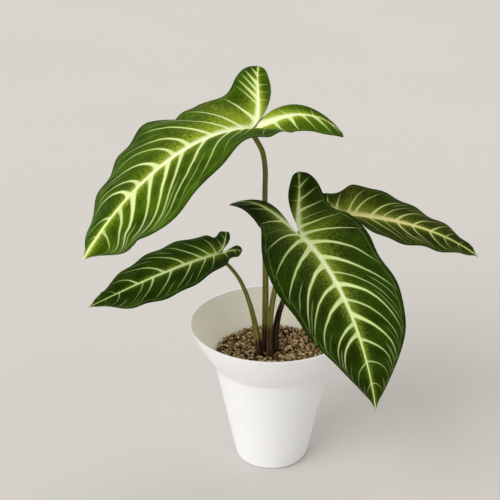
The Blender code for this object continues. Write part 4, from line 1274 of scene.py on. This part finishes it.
class AROID_OT_pot(bpy.types.Operator):
    """Make the pot with its flared collar and drain holes"""
    bl_idname = "aroid.pot"
    bl_label = "Pot"

    def execute(self, context):
        look = context.scene.aroid_pot
        profile, inside = pot_profile()
        points, triangles = lathe(profile, look.segments)
        # Mask of the inner wall, where the material paints warm bounce light.
        inside = np.concatenate([np.repeat(inside, look.segments), (0.0, 1.0)])[triangles]
        piece = make_piece("flower_pot", points, triangles, pot_material(look), ["pot"],
                           {"inside": inside})
        cut_drains(piece)
        return {"FINISHED"}


class AROID_OT_gravel(bpy.types.Operator):
    """Make the pumice gravel"""
    bl_idname = "aroid.gravel"
    bl_label = "Gravel"

    def execute(self, context):
        make_gravel(context.scene.aroid_gravel)
        return {"FINISHED"}


def add_light(name, place, strength, softness, colour):
    """A wide soft light from the direction of a place, the same over the whole floor."""
    light = bpy.data.lights.new(name, "SUN")
    light.energy = strength
    light.angle = softness
    light.color = colour
    item = add_object(name, light)
    item.location = place
    item.rotation_euler = (-Vector(place)).to_track_quat("-Z", "Y").to_euler()


class AROID_OT_studio(bpy.types.Operator):
    """Make the floor, the lights and the camera"""
    bl_idname = "aroid.studio"
    bl_label = "Studio"

    def execute(self, context):
        look = context.scene.aroid_studio
        mesh = bpy.data.meshes.new("floor")
        corners = [(x * FLOOR_REACH, y * FLOOR_REACH, 0) for x, y in ((-1, -1), (1, -1), (1, 1), (-1, 1))]
        mesh.from_pydata(corners, [], [(0, 1, 2, 3)])
        floor = add_object("floor", mesh)
        material, shader, bench = new_material("floor")
        speckle = bench.group(speckle_group(), Vector=bench.place(), Size=0.6)
        colour = bench.mix(speckle["Cloud"], look.floor_colour, look.floor_colour * 0.985)
        bench.feed(shader, {"Base Color": colour, "Roughness": 0.9, "Specular IOR Level": 0.1})
        mesh.materials.append(material)
        add_light("key", KEY_FROM, look.key_strength, look.softness, look.key_colour)
        add_light("fill", FILL_FROM, look.fill_strength, look.softness, look.fill_colour)
        world = bpy.data.worlds.new("room")
        world.use_nodes = True
        sky = world.node_tree.nodes["Background"]
        sky.inputs["Color"].default_value = (*look.key_colour, 1.0)
        sky.inputs["Strength"].default_value = look.sky_strength
        context.scene.world = world
        camera = add_object("camera", bpy.data.cameras.new("camera"))
        camera.location = CAMERA_PLACE
        camera.rotation_euler = np.radians(CAMERA_TURN)
        camera.data.lens = CAMERA_LENS
        camera.data.sensor_width = 36.0
        context.scene.camera = camera
        context.scene.view_settings.view_transform = "Standard"
        return {"FINISHED"}


class AROID_PT_panel(bpy.types.Panel):
    """Lists the pieces of the plant and their settings"""
    bl_idname = "AROID_PT_panel"
    bl_label = "Potted Aroid"
    bl_space_type = "VIEW_3D"
    bl_region_type = "UI"
    bl_category = "Aroid"

    def draw(self, context):
        for operator, *settings in PIECES:
            box = self.layout.box()
            box.operator(operator.bl_idname)
            for key in settings:
                group = getattr(context.scene, key)
                for name in group.bl_rna.properties.keys():
                    if name not in {"rna_type", "name"}:
                        box.prop(group, name)


PIECES = (
    (AROID_OT_pot, "aroid_pot"),
    (AROID_OT_gravel, "aroid_gravel"),
    (AROID_OT_stalks, "aroid_stalk"),
    (AROID_OT_leaves, "aroid_leaf", "aroid_leaf_a", "aroid_leaf_b", "aroid_leaf_c", "aroid_leaf_d"),
    (AROID_OT_studio, "aroid_studio"),
)
SETTINGS = {
    "aroid_pot": AroidPotLook,
    "aroid_gravel": AroidGravelLook,
    "aroid_stalk": AroidStalkLook,
    "aroid_leaf": AroidLeafLook,
    "aroid_leaf_a": AroidBladeALook,
    "aroid_leaf_b": AroidBladeBLook,
    "aroid_leaf_c": AroidBladeCLook,
    "aroid_leaf_d": AroidBladeDLook,
    "aroid_studio": AroidStudioLook,
}


def register():
    """Add the settings to the scene, and the operators and the panel to the menus."""
    for name, settings in SETTINGS.items():
        bpy.utils.register_class(settings)
        setattr(bpy.types.Scene, name, PointerProperty(type=settings))
    for operator, *_ in PIECES:
        bpy.utils.register_class(operator)
    bpy.utils.register_class(AROID_PT_panel)


def unregister():
    """Take away all that register adds, in the opposite order."""
    bpy.utils.unregister_class(AROID_PT_panel)
    for operator, *_ in reversed(PIECES):
        bpy.utils.unregister_class(operator)
    for name, settings in reversed(SETTINGS.items()):
        delattr(bpy.types.Scene, name)
        bpy.utils.unregister_class(settings)


def main():
    """Make every piece and the studio, and write down the plain and the visible bounds."""
    register()
    bpy.ops.aroid.pot()
    bpy.ops.aroid.gravel()
    bpy.ops.aroid.stalks()
    bpy.ops.aroid.leaves()
    bpy.ops.aroid.studio()


if __name__ == "__main__":
    main()
